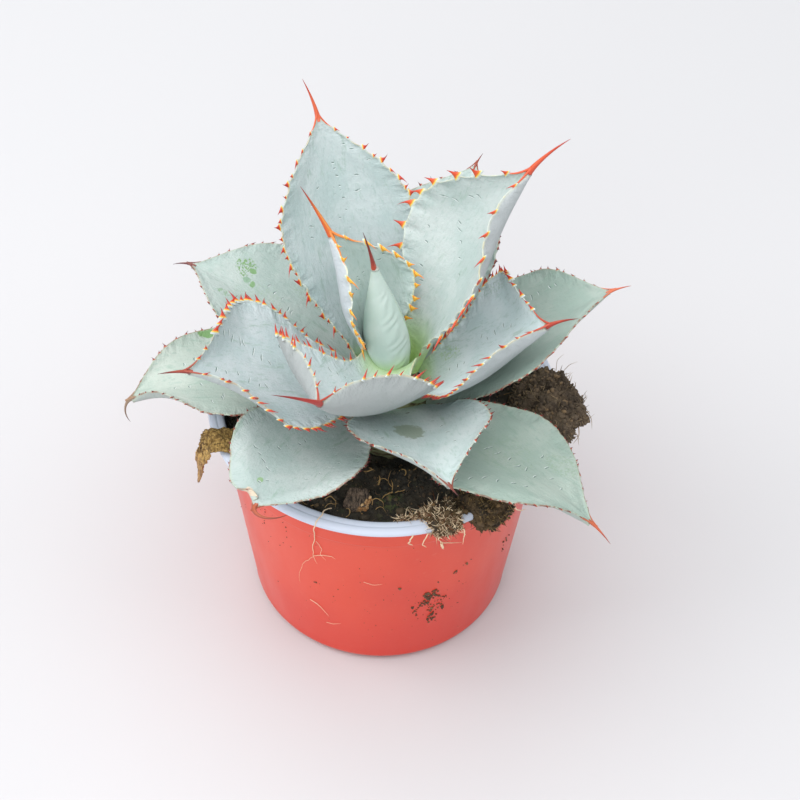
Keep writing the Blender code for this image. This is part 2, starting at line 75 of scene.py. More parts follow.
# Where the random draws of each piece start. A leaf's start at its number.
SEEDS = {"soil": 11, "peat": 3, "front": 5, "roots": 21, "dirt": 22, "bark": 41}

# The leaf design in millimetres and degrees, as in the part's source.
STEM_AXIS = np.array([3.0, 0.0, 0.0])
STEM_TOP_Z, STEM_TOP_R, STEM_FOOT_Z = 85.6, 3.5, 50.0
FIRST_LEAF_Z, FIRST_LEAF_R = 86.0, 4.5
LEVEL_DROP, LEVEL_OUT = 0.8, 0.75
FOOT_GAP, FOOT_REACH, FOOT_STEP = 0.7, 6.0, 0.1
GAP = 0.35
TEETH = 13
ROWS_OF_TEETH = 2 * TEETH + 1
FOOT_SHARE = 4 / ROWS_OF_TEETH
BASE_THICK, MIDDLE_THICK, TIP_THICK = 4.2, 2.8, 1.6
KEEL = 0.7
SPINE_THICK, SPINE_THICKER, SPINE_BEND, SPINE_ROOTED = 0.2, 0.045, 0.6, 1.4

# The margin and the tip are finer than in the part's source.
EDGE_THICK, TIP_HALF_WIDTH = 0.5, 0.55

# The leaves from the youngest to the oldest. Rise is at a leaf's start and end, and fold on its two sides.
FIELDS = ("azimuth", "rise", "length", "width", "fold", "tip_fold", "roll", "swing", "wide", "base",
          "base_fold", "lift", "out", "plump", "spine", "turn", "tooth")
LEAVES = [dict(zip(FIELDS, row)) for row in (
    (140, (76, 60), 43, 37, (65, 92), 92, -1, 10, 0.56, 0.14, 12, 3.9, 1.4, 0.85, 17, (-4, 5), 3.0),
    (29, (67, 58), 72.5, 45, (53, 45), 87, -1, -13, 0.6, 0.12, 52, 3.4, -1.4, 0.8, 16, (-10, -18), 3.0),
    (-113, (30, 53), 65, 52, (49, 54), 99, -1, 7, 0.61, 0.35, 63, 5.4, -0.2, 0.9, 17, (-9, -56), 3.0),
    (118, (47, 62), 75, 44, (41, 49), 46, -4, -3, 0.6, 0.47, 65, 0.3, 0.0, 0.55, 12, (4, 18), 2.0),
    (-20, (46, 51), 54, 48, (35, 41), 70, 8, -3, 0.63, 0.34, 50, 2.1, -0.6, 0.9, 12, (-12, -13), 2.4),
    (-156, (30, 24), 58, 50, (30, 12), 75, -9, -2, 0.56, 0.37, 13, 5.2, 0.1, 0.7, 9.5, (-1, 13), 2.2),
    (67, (43, 31), 63, 46, (32, 43), 38, -13, 1, 0.59, 0.33, 13, 1.0, -1.3, 0.8, 4.5, (-14, -12), 1.6),
    (-80, (43, 11), 58, 40, (30, 21), 54, -5, 10, 0.54, 0.35, 9, 4.8, 0.5, 0.85, 5, (5, 11), 1.4),
    (153, (31, 9), 58, 45, (25, 17), 29, 7, 5, 0.59, 0.35, 29, 3.6, 0.3, 0.9, 6, (-35, 11), 1.3),
    (-2, (52, 24), 64, 48, (9, 12), 34, -11, 14, 0.57, 0.4, 3, 2.0, -2.4, 0.4, 6, (-1, -21), 1.3),
    (-130, (22, 8), 55, 40, (23, 46), -12, 6, 16, 0.6, 0.37, 64, 1.0, 0.0, 1.0, 12, (0, 150), 1.0),
    (102, (21, 5), 62, 43, (25, 25), 25, 0, 0, 0.6, 0.34, 62, 0.3, 0.4, 1.0, 8, (0, 0), 1.2),
    (-46, (30, -18), 62, 44, (25, -14), 24, -30, 10, 0.51, 0.38, 59, 1.5, 0.1, 1.0, 7.5, (-13, -6), 1.2),
    (-183, (24, -19), 63, 40, (16, 23), 75, 10, 16, 0.56, 0.33, 60, 0.8, 0.0, 1.0, 9, (-103, 5), 1.2),
    (47, (24, -8), 43, 36, (25, 25), 25, 0, 0, 0.6, 0.4, 60, 0.7, 0.0, 1.0, 6, (0, 0), 1.2),
)]

# The bud, with its radius along it and the place of its seam.
BUD = dict(azimuth=167, rise=(81, 82), length=42, roll=0, swing=0, out=-4.5, lift=0.6, spine=13,
           turn=(-10, 0))
BUD_RADII = ((0.0, 3.7), (0.12, 5.0), (0.3, 6.5), (0.45, 6.6), (0.65, 5.0), (0.85, 2.6), (1.0, 1.0))
BUD_SEAM = math.radians(92)

# The teeth: the first row that has them, how far they stray from their rows, and the rings of a tooth's skin
# as shares of its height. Pairs are for the young leaves and for the others: how large the small teeth in
# between are, and how deep the margin draws in between teeth.
FIRST_TOOTH_ROW, TOOTH_STRAY = 3, 0.32
TOOTH_RINGS = np.array([-0.14, 0.0, 0.07, 0.18, 0.36, 0.57, 0.78, 0.93, 1.0])
TOOTH_TALL, POINT_RADIUS = 1.14, 0.015
YOUNG_LEVELS = 4
SMALL_TOOTH, KNOB_DEPTH = (0.6, 0.78), (0.42, 0.34)
KNOB_REACH = 1.25

# Leaves without small teeth in between the others, and how much taller the teeth of some leaves are.
FAR_APART = (1, 2)
TOOTH_GROWTH = {2: 1.12, 4: 1.25, 6: 1.3}

# Fineness of the meshes. The leaf has rows from one CAD row to the next, and columns across each face.
ROW_STEPS, COLUMNS, EDGE_STEPS, SECTION_STEPS = 8, 29, 3, 24
TOOTH_SIDES, PRINT_STEPS = 10, 9
SPINE_STEPS, SPINE_SIDES, STRIP_STEPS, STRIP_SIDES = 48, 20, 30, 8
BUD_ROWS, BUD_SIDES = 110, 96
POT_SEGMENTS, DRAIN_SEGMENTS = 192, 32
SOIL_SEGMENTS, SOIL_ROWS = 300, 90
DEAD_ROWS, DEAD_COLUMNS = 110, 44

# Colours of young and old teeth.
YELLOW, ORANGE, RED, MAROON = (246, 206, 84), (230, 118, 46), (194, 56, 42), (116, 34, 36)
CREAM, DULL = (214, 216, 164), (190, 190, 146)

# How old each leaf looks, from 0 to 1, and the colours of its spine's root and point.
AGES = [0.0, 0.05, 0.25, 0.3, 0.3, 0.5, 0.6, 0.6, 0.6, 0.85, 0.75, 0.9, 0.95, 0.85, 0.95]
HORNS = [((216, 96, 44), (150, 48, 36)), ((206, 80, 52), (172, 52, 38)), ((172, 54, 46), (118, 36, 34)),
         ((214, 92, 62), (170, 58, 46)), ((176, 64, 52), (112, 40, 38)), ((150, 60, 52), (98, 40, 42)),
         ((140, 62, 52), (92, 42, 40)), ((110, 48, 44), (70, 34, 36)), ((104, 56, 60), (74, 48, 54)),
         ((206, 104, 74), (170, 76, 58)), ((160, 76, 54), (112, 50, 40)), ((150, 70, 50), (100, 46, 38)),
         ((190, 88, 54), (138, 56, 38)), ((148, 128, 108), (104, 88, 78)), ((140, 70, 50), (96, 46, 38))]
BUD_HORN = ((150, 52, 44), (96, 36, 36))

# How far each spine's horn runs down the margins of its leaf, in millimetres, and how deep its groove is.
STRIPS = [7.0, 5.5, 5.0, 4.0, 5.0, 4.0, 2.0, 3.0, 2.0, 2.5, 2.0, 1.5, 3.0, 2.0, 1.5]
GROOVE_DEPTH = 0.35

# The colour of each leaf's skin, partly its own and partly painted light, as some leaves are set lighter or
# darker for how lit they are; and of the first leaves' undersides. The others' undersides are alike.
LIT_WAXES = [(205, 217, 214), (196, 206, 204), (204, 213, 215), (193, 205, 205), (211, 221, 223),
         (195, 205, 207), (196, 208, 205), (194, 206, 205), (184, 196, 191), (169, 184, 175),
         (189, 200, 197), (184, 197, 188), (178, 193, 183), (190, 200, 191), (184, 197, 188)]
# The undersides' colours: partly their own lilac-grey and partly painted shade, set darker because they face
# down.
SHADED_UNDERSIDES = {1: (190, 196, 202), 2: (184, 189, 192), 3: (155, 158, 159)}

# How far one leaf's pattern lies from the next one's in the noise.
PATTERN_STEP = 40

# Prints that other leaves' teeth left while all were rolled in the bud, by the leaf's number. A row of them
# has where it starts and where it ends, both as shares along and across the leaf, how many there are and how
# long each is in millimetres. A print is a dark sliver, partly the print's own darker green and partly
# painted shade in its pressed crease, and a pale one beside it, a painted highlight on the ridge, both just
# over the skin.
PRINT_DARK, PRINT_HIGHLIGHT = (94, 120, 112), (230, 238, 237)
PRINT_HALF_WIDTHS, PRINT_APART, PRINT_PROUD, PRINT_SUNK = (0.2, 0.16), 0.3, 0.03, 0.10
PRINTS = {
    1: ((0.4, -0.14, 0.28, 0.06, 5, 3.4), (0.66, -0.22, 0.56, -0.02, 5, 2.6),
        (0.7, -0.6, 0.74, -0.8, 2, 1.6)),
    2: ((0.78, 0.5, 0.68, 0.76, 4, 2.4), (0.65, 0.42, 0.49, 0.02, 5, 2.0), (0.55, 0.72, 0.34, 0.62, 4, 1.6)),
    3: ((0.3, -0.73, 0.2, -0.5, 4, 2.0), (0.52, 0.3, 0.34, 0.55, 4, 1.8)),
    4: ((0.83, -0.12, 0.57, -0.06, 9, 2.4), (0.76, -0.4, 0.7, -0.36, 2, 2.2),
        (0.9, -0.62, 0.8, -0.8, 3, 1.6), (0.74, 0.3, 0.56, 0.48, 4, 1.6)),
    5: ((0.7, 0.3, 0.46, 0.36, 5, 2.0), (0.4, 0.1, 0.22, 0.2, 4, 1.6), (0.7, -0.3, 0.5, -0.55, 4, 2.0)),
    6: ((0.8, -0.76, 0.55, -0.17, 8, 3.2), (0.85, -0.06, 0.6, 0.2, 6, 2.4),
        (0.42, 0.84, 0.34, 0.7, 3, 2.0), (0.45, -0.5, 0.25, -0.3, 4, 2.2)),
    7: ((0.7, 0.3, 0.5, 0.4, 4, 2.0), (0.8, -0.2, 0.6, -0.4, 4, 2.0)),
    8: ((0.38, 0.3, 0.7, 0.45, 4, 1.4), (0.66, -0.5, 0.42, -0.66, 4, 1.6)),
    9: ((0.45, -0.66, 0.26, -0.52, 8, 3.4), (0.62, -0.3, 0.44, -0.1, 5, 1.8),
        (0.66, 0.3, 0.46, 0.6, 5, 1.6)),
    10: ((0.78, 0.7, 0.55, 0.4, 6, 2.2), (0.7, -0.2, 0.4, -0.3, 5, 2.4)),
    11: ((0.57, -0.34, 0.43, -0.19, 4, 2.2), (0.43, -0.79, 0.42, -0.46, 4, 2.0),
         (0.84, -0.36, 0.8, -0.2, 2, 1.6), (0.38, 0.31, 0.44, 0.42, 2, 1.8),
         (0.66, -0.62, 0.74, -0.3, 4, 1.8), (0.7, 0.4, 0.52, 0.6, 4, 1.6)),
    12: ((0.7, 0.3, 0.45, 0.45, 6, 2.6), (0.75, -0.35, 0.5, -0.5, 5, 2.4)),
    13: ((0.39, 0.03, 0.68, 0.06, 6, 3.0), (0.48, -0.84, 0.69, -0.38, 6, 2.6), (0.8, 0.3, 0.6, 0.5, 4, 1.8)),
    14: ((0.62, 0.66, 0.52, 0.28, 4, 2.6), (0.8, 0.1, 0.6, 0.1, 4, 2.0), (0.75, -0.5, 0.55, -0.6, 4, 2.0)),
    15: ((0.7, 0.2, 0.45, 0.4, 5, 2.2),),
}

# Stains by the leaf's number, and one band of painted shade on leaf 9: where the middle is, as shares along
# and across, half its size across and along in millimetres, whether it is mottled, its colour and how strong
# it is.
STAINS_AND_SHADE = {
    3: ((0.1, 0.6, 3.0, 3.0, True, (150, 176, 150), 0.5),),
    5: ((0.22, 0.62, 2.4, 4.0, True, (164, 192, 150), 0.6),
        (0.62, 0.88, 1.6, 8.0, True, (170, 192, 178), 0.5)),
    8: ((0.49, -0.13, 4.3, 5.4, False, (139, 153, 134), 0.85),
        (0.17, 0.06, 0.7, 0.7, False, (70, 66, 58), 0.9)),
    9: ((0.765, -0.45, 3.6, 3.4, True, (126, 162, 112), 1.0),
        (0.725, -0.41, 1.0, 1.3, False, (126, 164, 114), 1.0),
        (0.729, -0.212, 1.2, 1.3, False, (142, 172, 148), 1.0),
        (0.692, -0.175, 1.3, 0.9, False, (130, 168, 120), 1.0),
        (0.779, 0.35, 1.6, 2.2, True, (140, 172, 138), 0.9),
        (0.62, 0.1, 9.0, 9.0, True, (160, 184, 160), 0.35),
        # Painted shade along leaf 9's corrugated band, not a stain.
        (0.36, -0.6, 3.4, 10.0, True, (160, 182, 160), 0.5)),
    10: ((0.5, 0.1, 9.0, 12.0, True, (158, 184, 166), 0.4),),
    11: ((0.925, -0.95, 2.0, 2.2, False, (222, 200, 176), 0.9),
         (0.82, -0.32, 1.0, 1.2, False, (140, 178, 120), 0.8)),
    13: ((0.48, 0.1, 9.0, 10.0, True, (156, 182, 160), 0.4),
         (0.7, 0.7, 4.0, 7.0, True, (150, 176, 150), 0.5)),
    14: ((0.63, -0.95, 2.0, 2.6, False, (126, 166, 108), 1.0),),
}

# The bite out of leaf 11's right margin and the swelling beside it: place along, reach and depth.
BITTEN = 11
BITE_AT, BITE_REACH, BITE_DEPTH = 0.935, 0.030, 3.4
SWELL_AT, SWELL_REACH, SWELL_DEPTH = 0.865, 0.060, 2.0

# The third leaf's base rises against the bud's foot.
COLLARED = 3
COLLAR_REACH, COLLAR_RISE = 0.09, 5.0

# The pot, in millimetres, as in the part's source. The cutter of its drain holes reaches past both faces.
RIM_RADIUS, RIM_WIDTH, RIM_DEPTH = 51.3, 4.5, 2.0
POT_HEIGHT, NECK_RADIUS, BASE_RADIUS = 78.0, 48.0, 39.6
STEP_Z, STEP_IN = 66.8, 1.0
WALL, FLOOR = 1.2, 1.5
FOOT_ROUND, WALL_FOOT_Z = 3.8, 4.2
RING_IN, RING_OUT, DISC_RADIUS = 30.0, 36.0, 16.0
CHANNEL_RISE, CHANNEL_SLOPE = 2.0, 2.0
DRAIN_COUNT, DRAIN_RADIUS, CUT_PAST = 6, 3.0, 1.5

# The soil: its height, its dish round the stem, how many grains, short roots and splinters lie on it, and
# where algae grow.
SOIL_Z, SOIL_DISH, SOIL_LUMP = 74.3, 7.0, 0.4
DISH_IN, DISH_OUT = 18.0, 27.0
SOIL_GRAINS, SOIL_ROOTS, SOIL_SPLINTERS = 5200, 150, 260
ALGAE = (2.5, -36.9, 75.0)

# The faces of a ball of twenty triangles, from which each grain is made.
BALL_FACES = [
    (0, 8, 4), (0, 5, 10), (2, 4, 9), (2, 11, 5), (1, 6, 8), (1, 10, 7), (3, 9, 6), (3, 7, 11), (0, 10, 8),
    (1, 8, 10), (2, 9, 11), (3, 11, 9), (4, 2, 0), (5, 0, 2), (6, 1, 3), (7, 3, 1), (8, 6, 4), (9, 4, 6),
    (10, 5, 7), (11, 7, 5),
]

# Golden loops and a forked twig that lie on the soil: a radius, and corners (x, y, how far they stand up).
SOIL_STRANDS = [
    (0.16, (-2.6, -39.6, 0.2), (-2.4, -37.8, 1.0), (-0.9, -37.2, 1.4), (0.6, -38.0, 1.2),
     (0.7, -39.8, 0.4)),
    (0.12, (-2.0, -40.4, 0.1), (-0.6, -39.4, 0.8), (0.4, -40.2, 0.9), (1.6, -41.0, 0.1)),
    (0.15, (-16.4, -39.2, 0.1), (-15.8, -37.6, 0.9), (-14.2, -37.2, 1.3), (-12.6, -38.2, 1.0),
     (-12.8, -40.0, 0.3)),
    (0.12, (-16.0, -40.2, 0.1), (-14.6, -39.4, 1.0), (-13.0, -39.4, 0.9), (-12.0, -38.6, 0.1)),
    (0.22, (1.0, -35.2, 0.3), (3.0, -33.8, 0.7), (5.4, -33.0, 0.5), (8.2, -32.8, 0.2)),
    (0.18, (3.0, -33.8, 0.7), (3.2, -31.6, 0.5), (2.6, -29.4, 0.3)),
    (0.2, (1.0, -35.2, 0.3), (0.2, -36.6, 0.3)),
    (0.1, (-20.0, -37.2, 0.2), (-19.0, -36.2, 0.8), (-18.4, -37.4, 0.4)),
    (0.34, (-0.9, -31.0, 0.2), (-0.4, -29.2, 0.6), (-0.8, -28.0, 0.3)),
]

# Roots on the pot: a radius, and places (azimuth in degrees, height, and for some how far off the wall).
WALL_ROOT_OFF = 0.35
WALL_ROOTS = [
    (0.17, (-108.5, 76.2, -4.5), (-109.5, 78.6, -1.6), (-110.4, 78.4, 2.4), (-111.0, 76.0, 3.8),
     (-112.4, 67.8, 0.9), (-114.4, 59.5), (-114.5, 55.0), (-113.4, 51.0)),
    (0.09, (-114.5, 55.0), (-112.4, 56.4), (-110.4, 57.4), (-107.0, 58.0), (-106.0, 57.0)),
    (0.06, (-114.6, 54.5), (-117.0, 51.5), (-119.4, 47.9), (-121.4, 43.0), (-122.6, 38.0),
     (-122.4, 35.0)),
    (0.07, (-112.8, 64.0), (-110.8, 60.8), (-111.6, 57.2), (-109.4, 54.4)),
    (0.09, (-118.8, 28.2), (-115.4, 27.4), (-112.5, 24.8), (-110.8, 22.0)),
    (0.05, (-112.3, 18.1), (-109.0, 18.4), (-105.5, 20.1)),
    (0.06, (-96.0, 47.0), (-92.0, 45.6), (-88.5, 46.4)),
]

# The clumps: how fine their meshes are and how wide their lumps are. The front one has its grains, and the
# height of the rim's lower edge, from which it is drawn up.
CLUMP_VOXEL, CLUMP_LUMP = 0.35, 2.4
FRONT_GRAINS = 700
HANG_FROM = 76.5

# Where the clump leaves the rim bare on its left and in a gap, and how far it is drawn in, by azimuth.
BARE_LEFT = ((-76, -72), (1.0, 0.0))
BARE_GAP = ((-65.5, -64, -60.5, -58.5), (0.0, 1.0, 1.0, 0.0))
DRAWN_IN = ((-66, -54), (1.0, 0.3))

# The roots that hang from it, given like those on the pot.
HANGING_ROOTS = [
    (0.21, (-65.0, 77.6, 3.9), (-62.4, 72.0, 2.6), (-60.6, 66.2, 1.0), (-59.6, 59.3)),
    (0.14, (-72.0, 77.4, 3.9), (-71.0, 71.0, 2.4), (-69.0, 66.1, 1.0), (-64.8, 64.4, 1.2),
     (-60.9, 62.6, 1.2)),
    (0.42, (-69.0, 66.1, 1.0), (-68.2, 63.4, 0.9), (-67.4, 61.1)),
    (0.22, (-80.0, 77.0, 3.8), (-81.0, 71.0, 2.0), (-79.0, 68.0, 0.8)),
    (0.16, (-75.0, 77.0, 3.8), (-76.5, 70.0, 2.2), (-74.0, 65.0, 0.8)),
    (0.14, (-53.8, 77.4, 3.6), (-53.4, 69.0, 2.0), (-52.6, 62.0, 0.6)),
    (0.2, (-46.0, 77.0, 4.0), (-43.5, 71.5, 4.2), (-41.0, 68.0, 4.6), (-38.0, 67.0, 5.4)),
    (0.12, (-44.0, 76.0, 4.0), (-42.0, 70.0, 3.6), (-43.0, 66.0, 3.2)),
]

# Its fibres: how many, from which azimuth to which, their lengths and radii, and which material they have.
FRONT_FIBRES = [
    (1700, -90, -63, (0.6, 2.4), (0.05, 0.14), 1),
    (90, -88, -66, (2.5, 4.5), (0.05, 0.10), 1),
    (1000, -66, -40, (0.7, 2.6), (0.05, 0.10), 2),
]

# The grains and fibres on the peat, and the roots that hang from it: a radius, and corners in millimetres.
PEAT_GRAINS, PEAT_FIBRES = 900, 700
PEAT_ROOTS = [
    (0.12, (57.5, -3.6, 77.4), (59.6, -4.0, 76.8), (60.9, -4.2, 74.0), (61.4, -4.3, 69.6)),
    (0.16, (55.0, -8.0, 78.4), (56.6, -9.4, 77.2), (57.0, -10.6, 73.8), (55.4, -11.4, 71.2)),
    (0.1, (54.4, -12.0, 78.6), (56.2, -13.2, 77.0), (56.8, -13.6, 73.0)),
    (0.1, (52.6, -14.6, 78.4), (53.6, -16.6, 76.6), (53.0, -17.4, 72.6)),
    (0.08, (52.0, 6.8, 81.6), (54.2, 8.6, 83.4), (56.6, 8.8, 84.6)),
    (0.07, (50.4, 7.4, 81.8), (50.6, 9.6, 84.2), (52.6, 10.8, 85.6)),
]

# Soil that sticks to the wall: azimuth, height, spread in millimetres, how many crumbs and their size.
MM_PER_DEGREE = 0.75
WALL_DIRT = [
    (-69.9, 35.9, 1.1, 34, 0.8), (-72.4, 31.5, 1.3, 16, 0.6), (-67.1, 25.9, 1.5, 22, 0.6),
    (-67.0, 21.1, 1.0, 14, 0.5), (-60.4, 44.5, 0.8, 7, 0.5), (-55.5, 47.0, 0.6, 5, 0.5),
    (-82.2, 43.2, 0.3, 3, 0.6), (-115.5, 39.4, 0.3, 2, 0.5), (-32.5, 41.0, 1.2, 8, 0.5),
    (-32.8, 35.8, 0.8, 5, 0.4), (-74.9, 27.6, 0.9, 8, 0.5), (-65.1, 30.9, 1.6, 18, 0.5),
    (-70.0, 31.0, 5.0, 40, 0.3), (-90.0, 36.0, 16.0, 60, 0.22), (-135.0, 60.0, 7.0, 24, 0.26),
    (100.0, 44.0, 16.0, 60, 0.24), (178.0, 52.0, 12.0, 40, 0.24), (20.0, 60.0, 9.0, 40, 0.3)
]

# The dry leaf: its underside as (radius, height), and its half width and its azimuth along that path.
DEAD_PATH = [(41.5, 75.6), (45.2, 77.2), (47.6, 78.7), (51.3, 78.75), (52.5, 77.3), (53.4, 73.0),
             (54.6, 68.0), (55.8, 63.0), (56.8, 59.5)]
DEAD_WIDTHS = ((0.0, 3.2), (0.12, 4.9), (0.3, 5.5), (0.42, 4.7), (0.5, 3.6), (0.62, 3.8), (0.8, 2.4),
               (0.92, 1.1), (1.0, 0.3))
DEAD_TURNS = ((0.0, -154.5), (0.3, -156.0), (0.45, -161.0), (0.7, -162.0), (1.0, -160.5))
DEAD_THICK = 0.5

# The bark chip: how fine its mesh is, how deep and wide its lumps are, and the splinters on its broken edge.
BARK_VOXEL, BARK_DEPTH, BARK_LUMP = 0.2, 0.25, 1.6
BARK_SPLINTERS = 46


def smooth(x):
    x = np.clip(x, 0, 1)
    return x * x * (3 - 2 * x)


def unit(vectors):
    return vectors / np.linalg.norm(vectors, axis=-1, keepdims=True)


def circle(count):
    """Angles in radians, spread evenly over one turn."""
    return np.linspace(0, 2 * math.pi, count, endpoint=False)


def polar(radius, turn, height=0.0):
    """Points at a radius, an angle in radians and a height."""
    return np.stack([radius * np.cos(turn), radius * np.sin(turn), height + 0 * turn], -1)


def leftwards(turn):
    """The level way that is square to an angle's, on its left."""
    return np.stack([-np.sin(turn), np.cos(turn), 0 * turn], -1)


def rings(across, above, turn):
    """For each point of a path, the ways out at these angles, from two ways that are square to the path."""
    return across[:, None] * np.cos(turn)[:, None] + above[:, None] * np.sin(turn)[:, None]


def linear(colour):
    """A colour of 0 to 255 steps as Blender's linear RGBA."""
    share = np.array(colour) / 255
    straight = np.where(share <= 0.04045, share / 12.92, ((share + 0.055) / 1.055) ** 2.4)
    return (*straight.tolist(), 1.0)


def blend(a, b, share):
    return tuple(x + (y - x) * share for x, y in zip(a, b))


def half_width(leaf, s):
    grown = leaf["base"] + (1 - leaf["base"]) * smooth(s / leaf["wide"])
    out = np.clip((s - leaf["wide"]) / (1 - leaf["wide"]), 0, 1)
    taper = 1 - out**1.8 - 0.5 * out**3 * (1 - out)
    return np.maximum(leaf["width"] / 2 * np.where(s < leaf["wide"], grown, taper), TIP_HALF_WIDTH)


class Look:
    """A material whose colours and relief lie over each other. Inputs take a socket or a plain value."""

    def __init__(self, name, shown, roughness=0.5, first=None, **settings):
        self.material = bpy.data.materials.new(name)
        self.material.use_nodes = True
        self.material.diffuse_color = linear(shown)
        self.tree = self.material.node_tree
        self.shader = self.tree.nodes["Principled BSDF"]
        self.colour, self.normal = first or shown, None
        self.set("Base Color", linear(shown))
        self.set("Roughness", roughness)
        for socket, value in settings.items():
            self.set(socket.replace("_", " "), value)

    def set(self, socket, value):
        self.join(self.shader.inputs[socket], value)

    def join(self, socket, value):
        if isinstance(value, bpy.types.NodeSocket):
            self.tree.links.new(value, socket)
        else:
            socket.default_value = value

    def node(self, kind, inputs, output=0, **settings):
        made = self.tree.nodes.new("ShaderNode" + kind)
        for name, value in settings.items():
            setattr(made, name, value)
        for name, value in inputs.items():
            self.join(made.inputs[name], value)
        return made.outputs[output]

    def math(self, operation, a, b=0.0, c=0.0):
        return self.node("Math", {0: a, 1: b, 2: c}, operation=operation)

    def times(self, a, b):
        return self.math("MULTIPLY", a, b)

    def vector(self, operation, a, b=(0, 0, 0), output=0):
        return self.node("VectorMath", {0: a, 1: b}, output, operation=operation)

    def length(self, vector):
        return self.vector("LENGTH", vector, output=1)

    def named(self, name, output=2):
        """A value that the mesh holds at its points. Output 1 is a vector, and output 2 a number."""
        return self.node("Attribute", {}, output, attribute_name=name)

    def place(self, *stretch):
        """Where a point of the piece lies, in millimetres, with each way stretched as asked."""
        here = self.vector("MULTIPLY", self.node("TexCoord", {}, 3), (1000, 1000, 1000))
        return self.vector("MULTIPLY", here, stretch) if stretch else here

    def noise(self, place, scale, detail=2.0, roughness=0.5):
        inputs = {"Vector": place, "Scale": scale, "Detail": detail, "Roughness": roughness}
        return self.node("TexNoise", inputs)

    def between(self, value, low, high):
        """0 where the value is at low, 1 where it is at high, and smooth between them."""
        inputs = {"Value": value, "From Min": low, "From Max": high}
        return self.node("MapRange", inputs, interpolation_type="SMOOTHSTEP")

    def paint(self, tint, share):
        """Lays a colour over the ones before it, by a share from 0 to 1."""
        before, tint = (linear(c) if isinstance(c, tuple) else c for c in (self.colour, tint))
        self.colour = self.node("Mix", {0: share, 6: before, 7: tint}, 2, data_type="RGBA")
        self.set("Base Color", self.colour)

    def wash(self, tint, value, low, high, most=1.0):
        """Lays a colour on: none of it where the value is at low, and the most of it where it is at high."""
        share = self.between(value, low, high)
        self.paint(tint, share if most == 1.0 else self.times(share, most))

    def relief(self, height, depth, strength=1.0):
        """Lays relief of the given depth in millimetres over what is there."""
        inputs = {"Height": height, "Distance": depth * MM, "Strength": strength}
        if self.normal:
            inputs["Normal"] = self.normal
        self.normal = self.node("Bump", inputs)
        self.set("Normal", self.normal)

    def patch(self, place, leaf, along, across, wide, long, mottled):
        """1 in a ragged patch: shares along and across a leaf, and half its sizes in millimetres."""
        middle = (across * float(half_width(leaf, along)), along * leaf["length"], 0)
        away = self.vector("MULTIPLY", self.vector("SUBTRACT", place, middle), (1 / wide, 1 / long, 0))
        torn = self.times(self.math("SUBTRACT", self.noise(place, 0.6, 4.0, 0.65), 0.5), 1.2)
        shown = self.between(self.math("ADD", self.length(away), torn), 1.05, 0.8)
        if mottled:
            shown = self.times(shown, self.between(self.noise(place, 1.5, 2.0, 0.6), 0.50, 0.56))
        return shown

    def dots(self, place, per_mm, radius, rarity):
        """1 in small round dots scattered over the surface."""
        away = self.node("TexVoronoi", {"Vector": place, "Scale": per_mm})
        chance = self.node("SeparateColor", {0: away.node.outputs["Color"]})
        near = self.between(away, radius, radius * 0.4)
        return self.times(near, self.math("GREATER_THAN", chance, rarity))


def put(name, data):
    """An object of the scene."""
    item = bpy.data.objects.new(name, data)
    bpy.context.scene.collection.objects.link(item)
    return item


class Shape:
    """Points and faces gathered for one mesh, with each face's material and named values for each point."""

    def __init__(self):
        self.points, self.faces, self.looks, self.values, self.count = [], [], [], {}, 0

    def add(self, points, faces, look=0, **values):
        points = np.asarray(points, float).reshape(-1, 3)
        made = [(np.asarray(face) + self.count).tolist() for face in faces]
        self.faces += made
        self.looks += [look] * len(made)
        self.points.append(points)
        for name, value in values.items():
            self.values.setdefault(name, []).append((self.count, np.asarray(value, float)))
        self.count += len(points)

    def mesh(self, name):
        """The mesh, from points in millimetres."""
        mesh = bpy.data.meshes.new(name)
        mesh.from_pydata((np.concatenate(self.points) * MM).tolist(), [], self.faces)
        for key, entries in self.values.items():
            wide = entries[0][1].ndim == 2
            whole = np.zeros((self.count, 3) if wide else self.count)
            for start, value in entries:
                whole[start:start + len(value)] = value
            kept = mesh.attributes.new(key, "FLOAT_VECTOR" if wide else "FLOAT", "POINT")
            kept.data.foreach_set("vector" if wide else "value", whole.ravel())
        return mesh

    def make(self, name, looks, slot, replaces=()):
        """The piece. It rides on the only body."""
        mesh = self.mesh(name)
        mesh.shade_smooth()
        for look in looks:
            mesh.materials.append(look.material)
        mesh.polygons.foreach_set("material_index", self.looks)
        piece = put(name, mesh)
        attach(piece, "root")
        if replaces:
            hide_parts(*replaces)
        return piece


def grid_faces(rows, columns):
    """Faces of rings of points numbered row by row, joined to an open tube."""
    low = np.arange(rows - 1)[:, None] * columns + np.arange(columns)
    right = np.arange(rows - 1)[:, None] * columns + np.arange(1, columns + 1) % columns
    return np.stack([low, low + columns, right + columns, right], -1).reshape(-1, 4)[:, ::-1]


def tube_faces(rows, columns, turned_round=False):
    """Faces of a tube of rings with a cap at each end. They can be turned round, to look the other way."""
    first, last = np.arange(columns), np.arange((rows - 1) * columns, rows * columns)
    faces = [*grid_faces(rows, columns), first, last[::-1]]
    return [face[::-1] for face in faces] if turned_round else faces


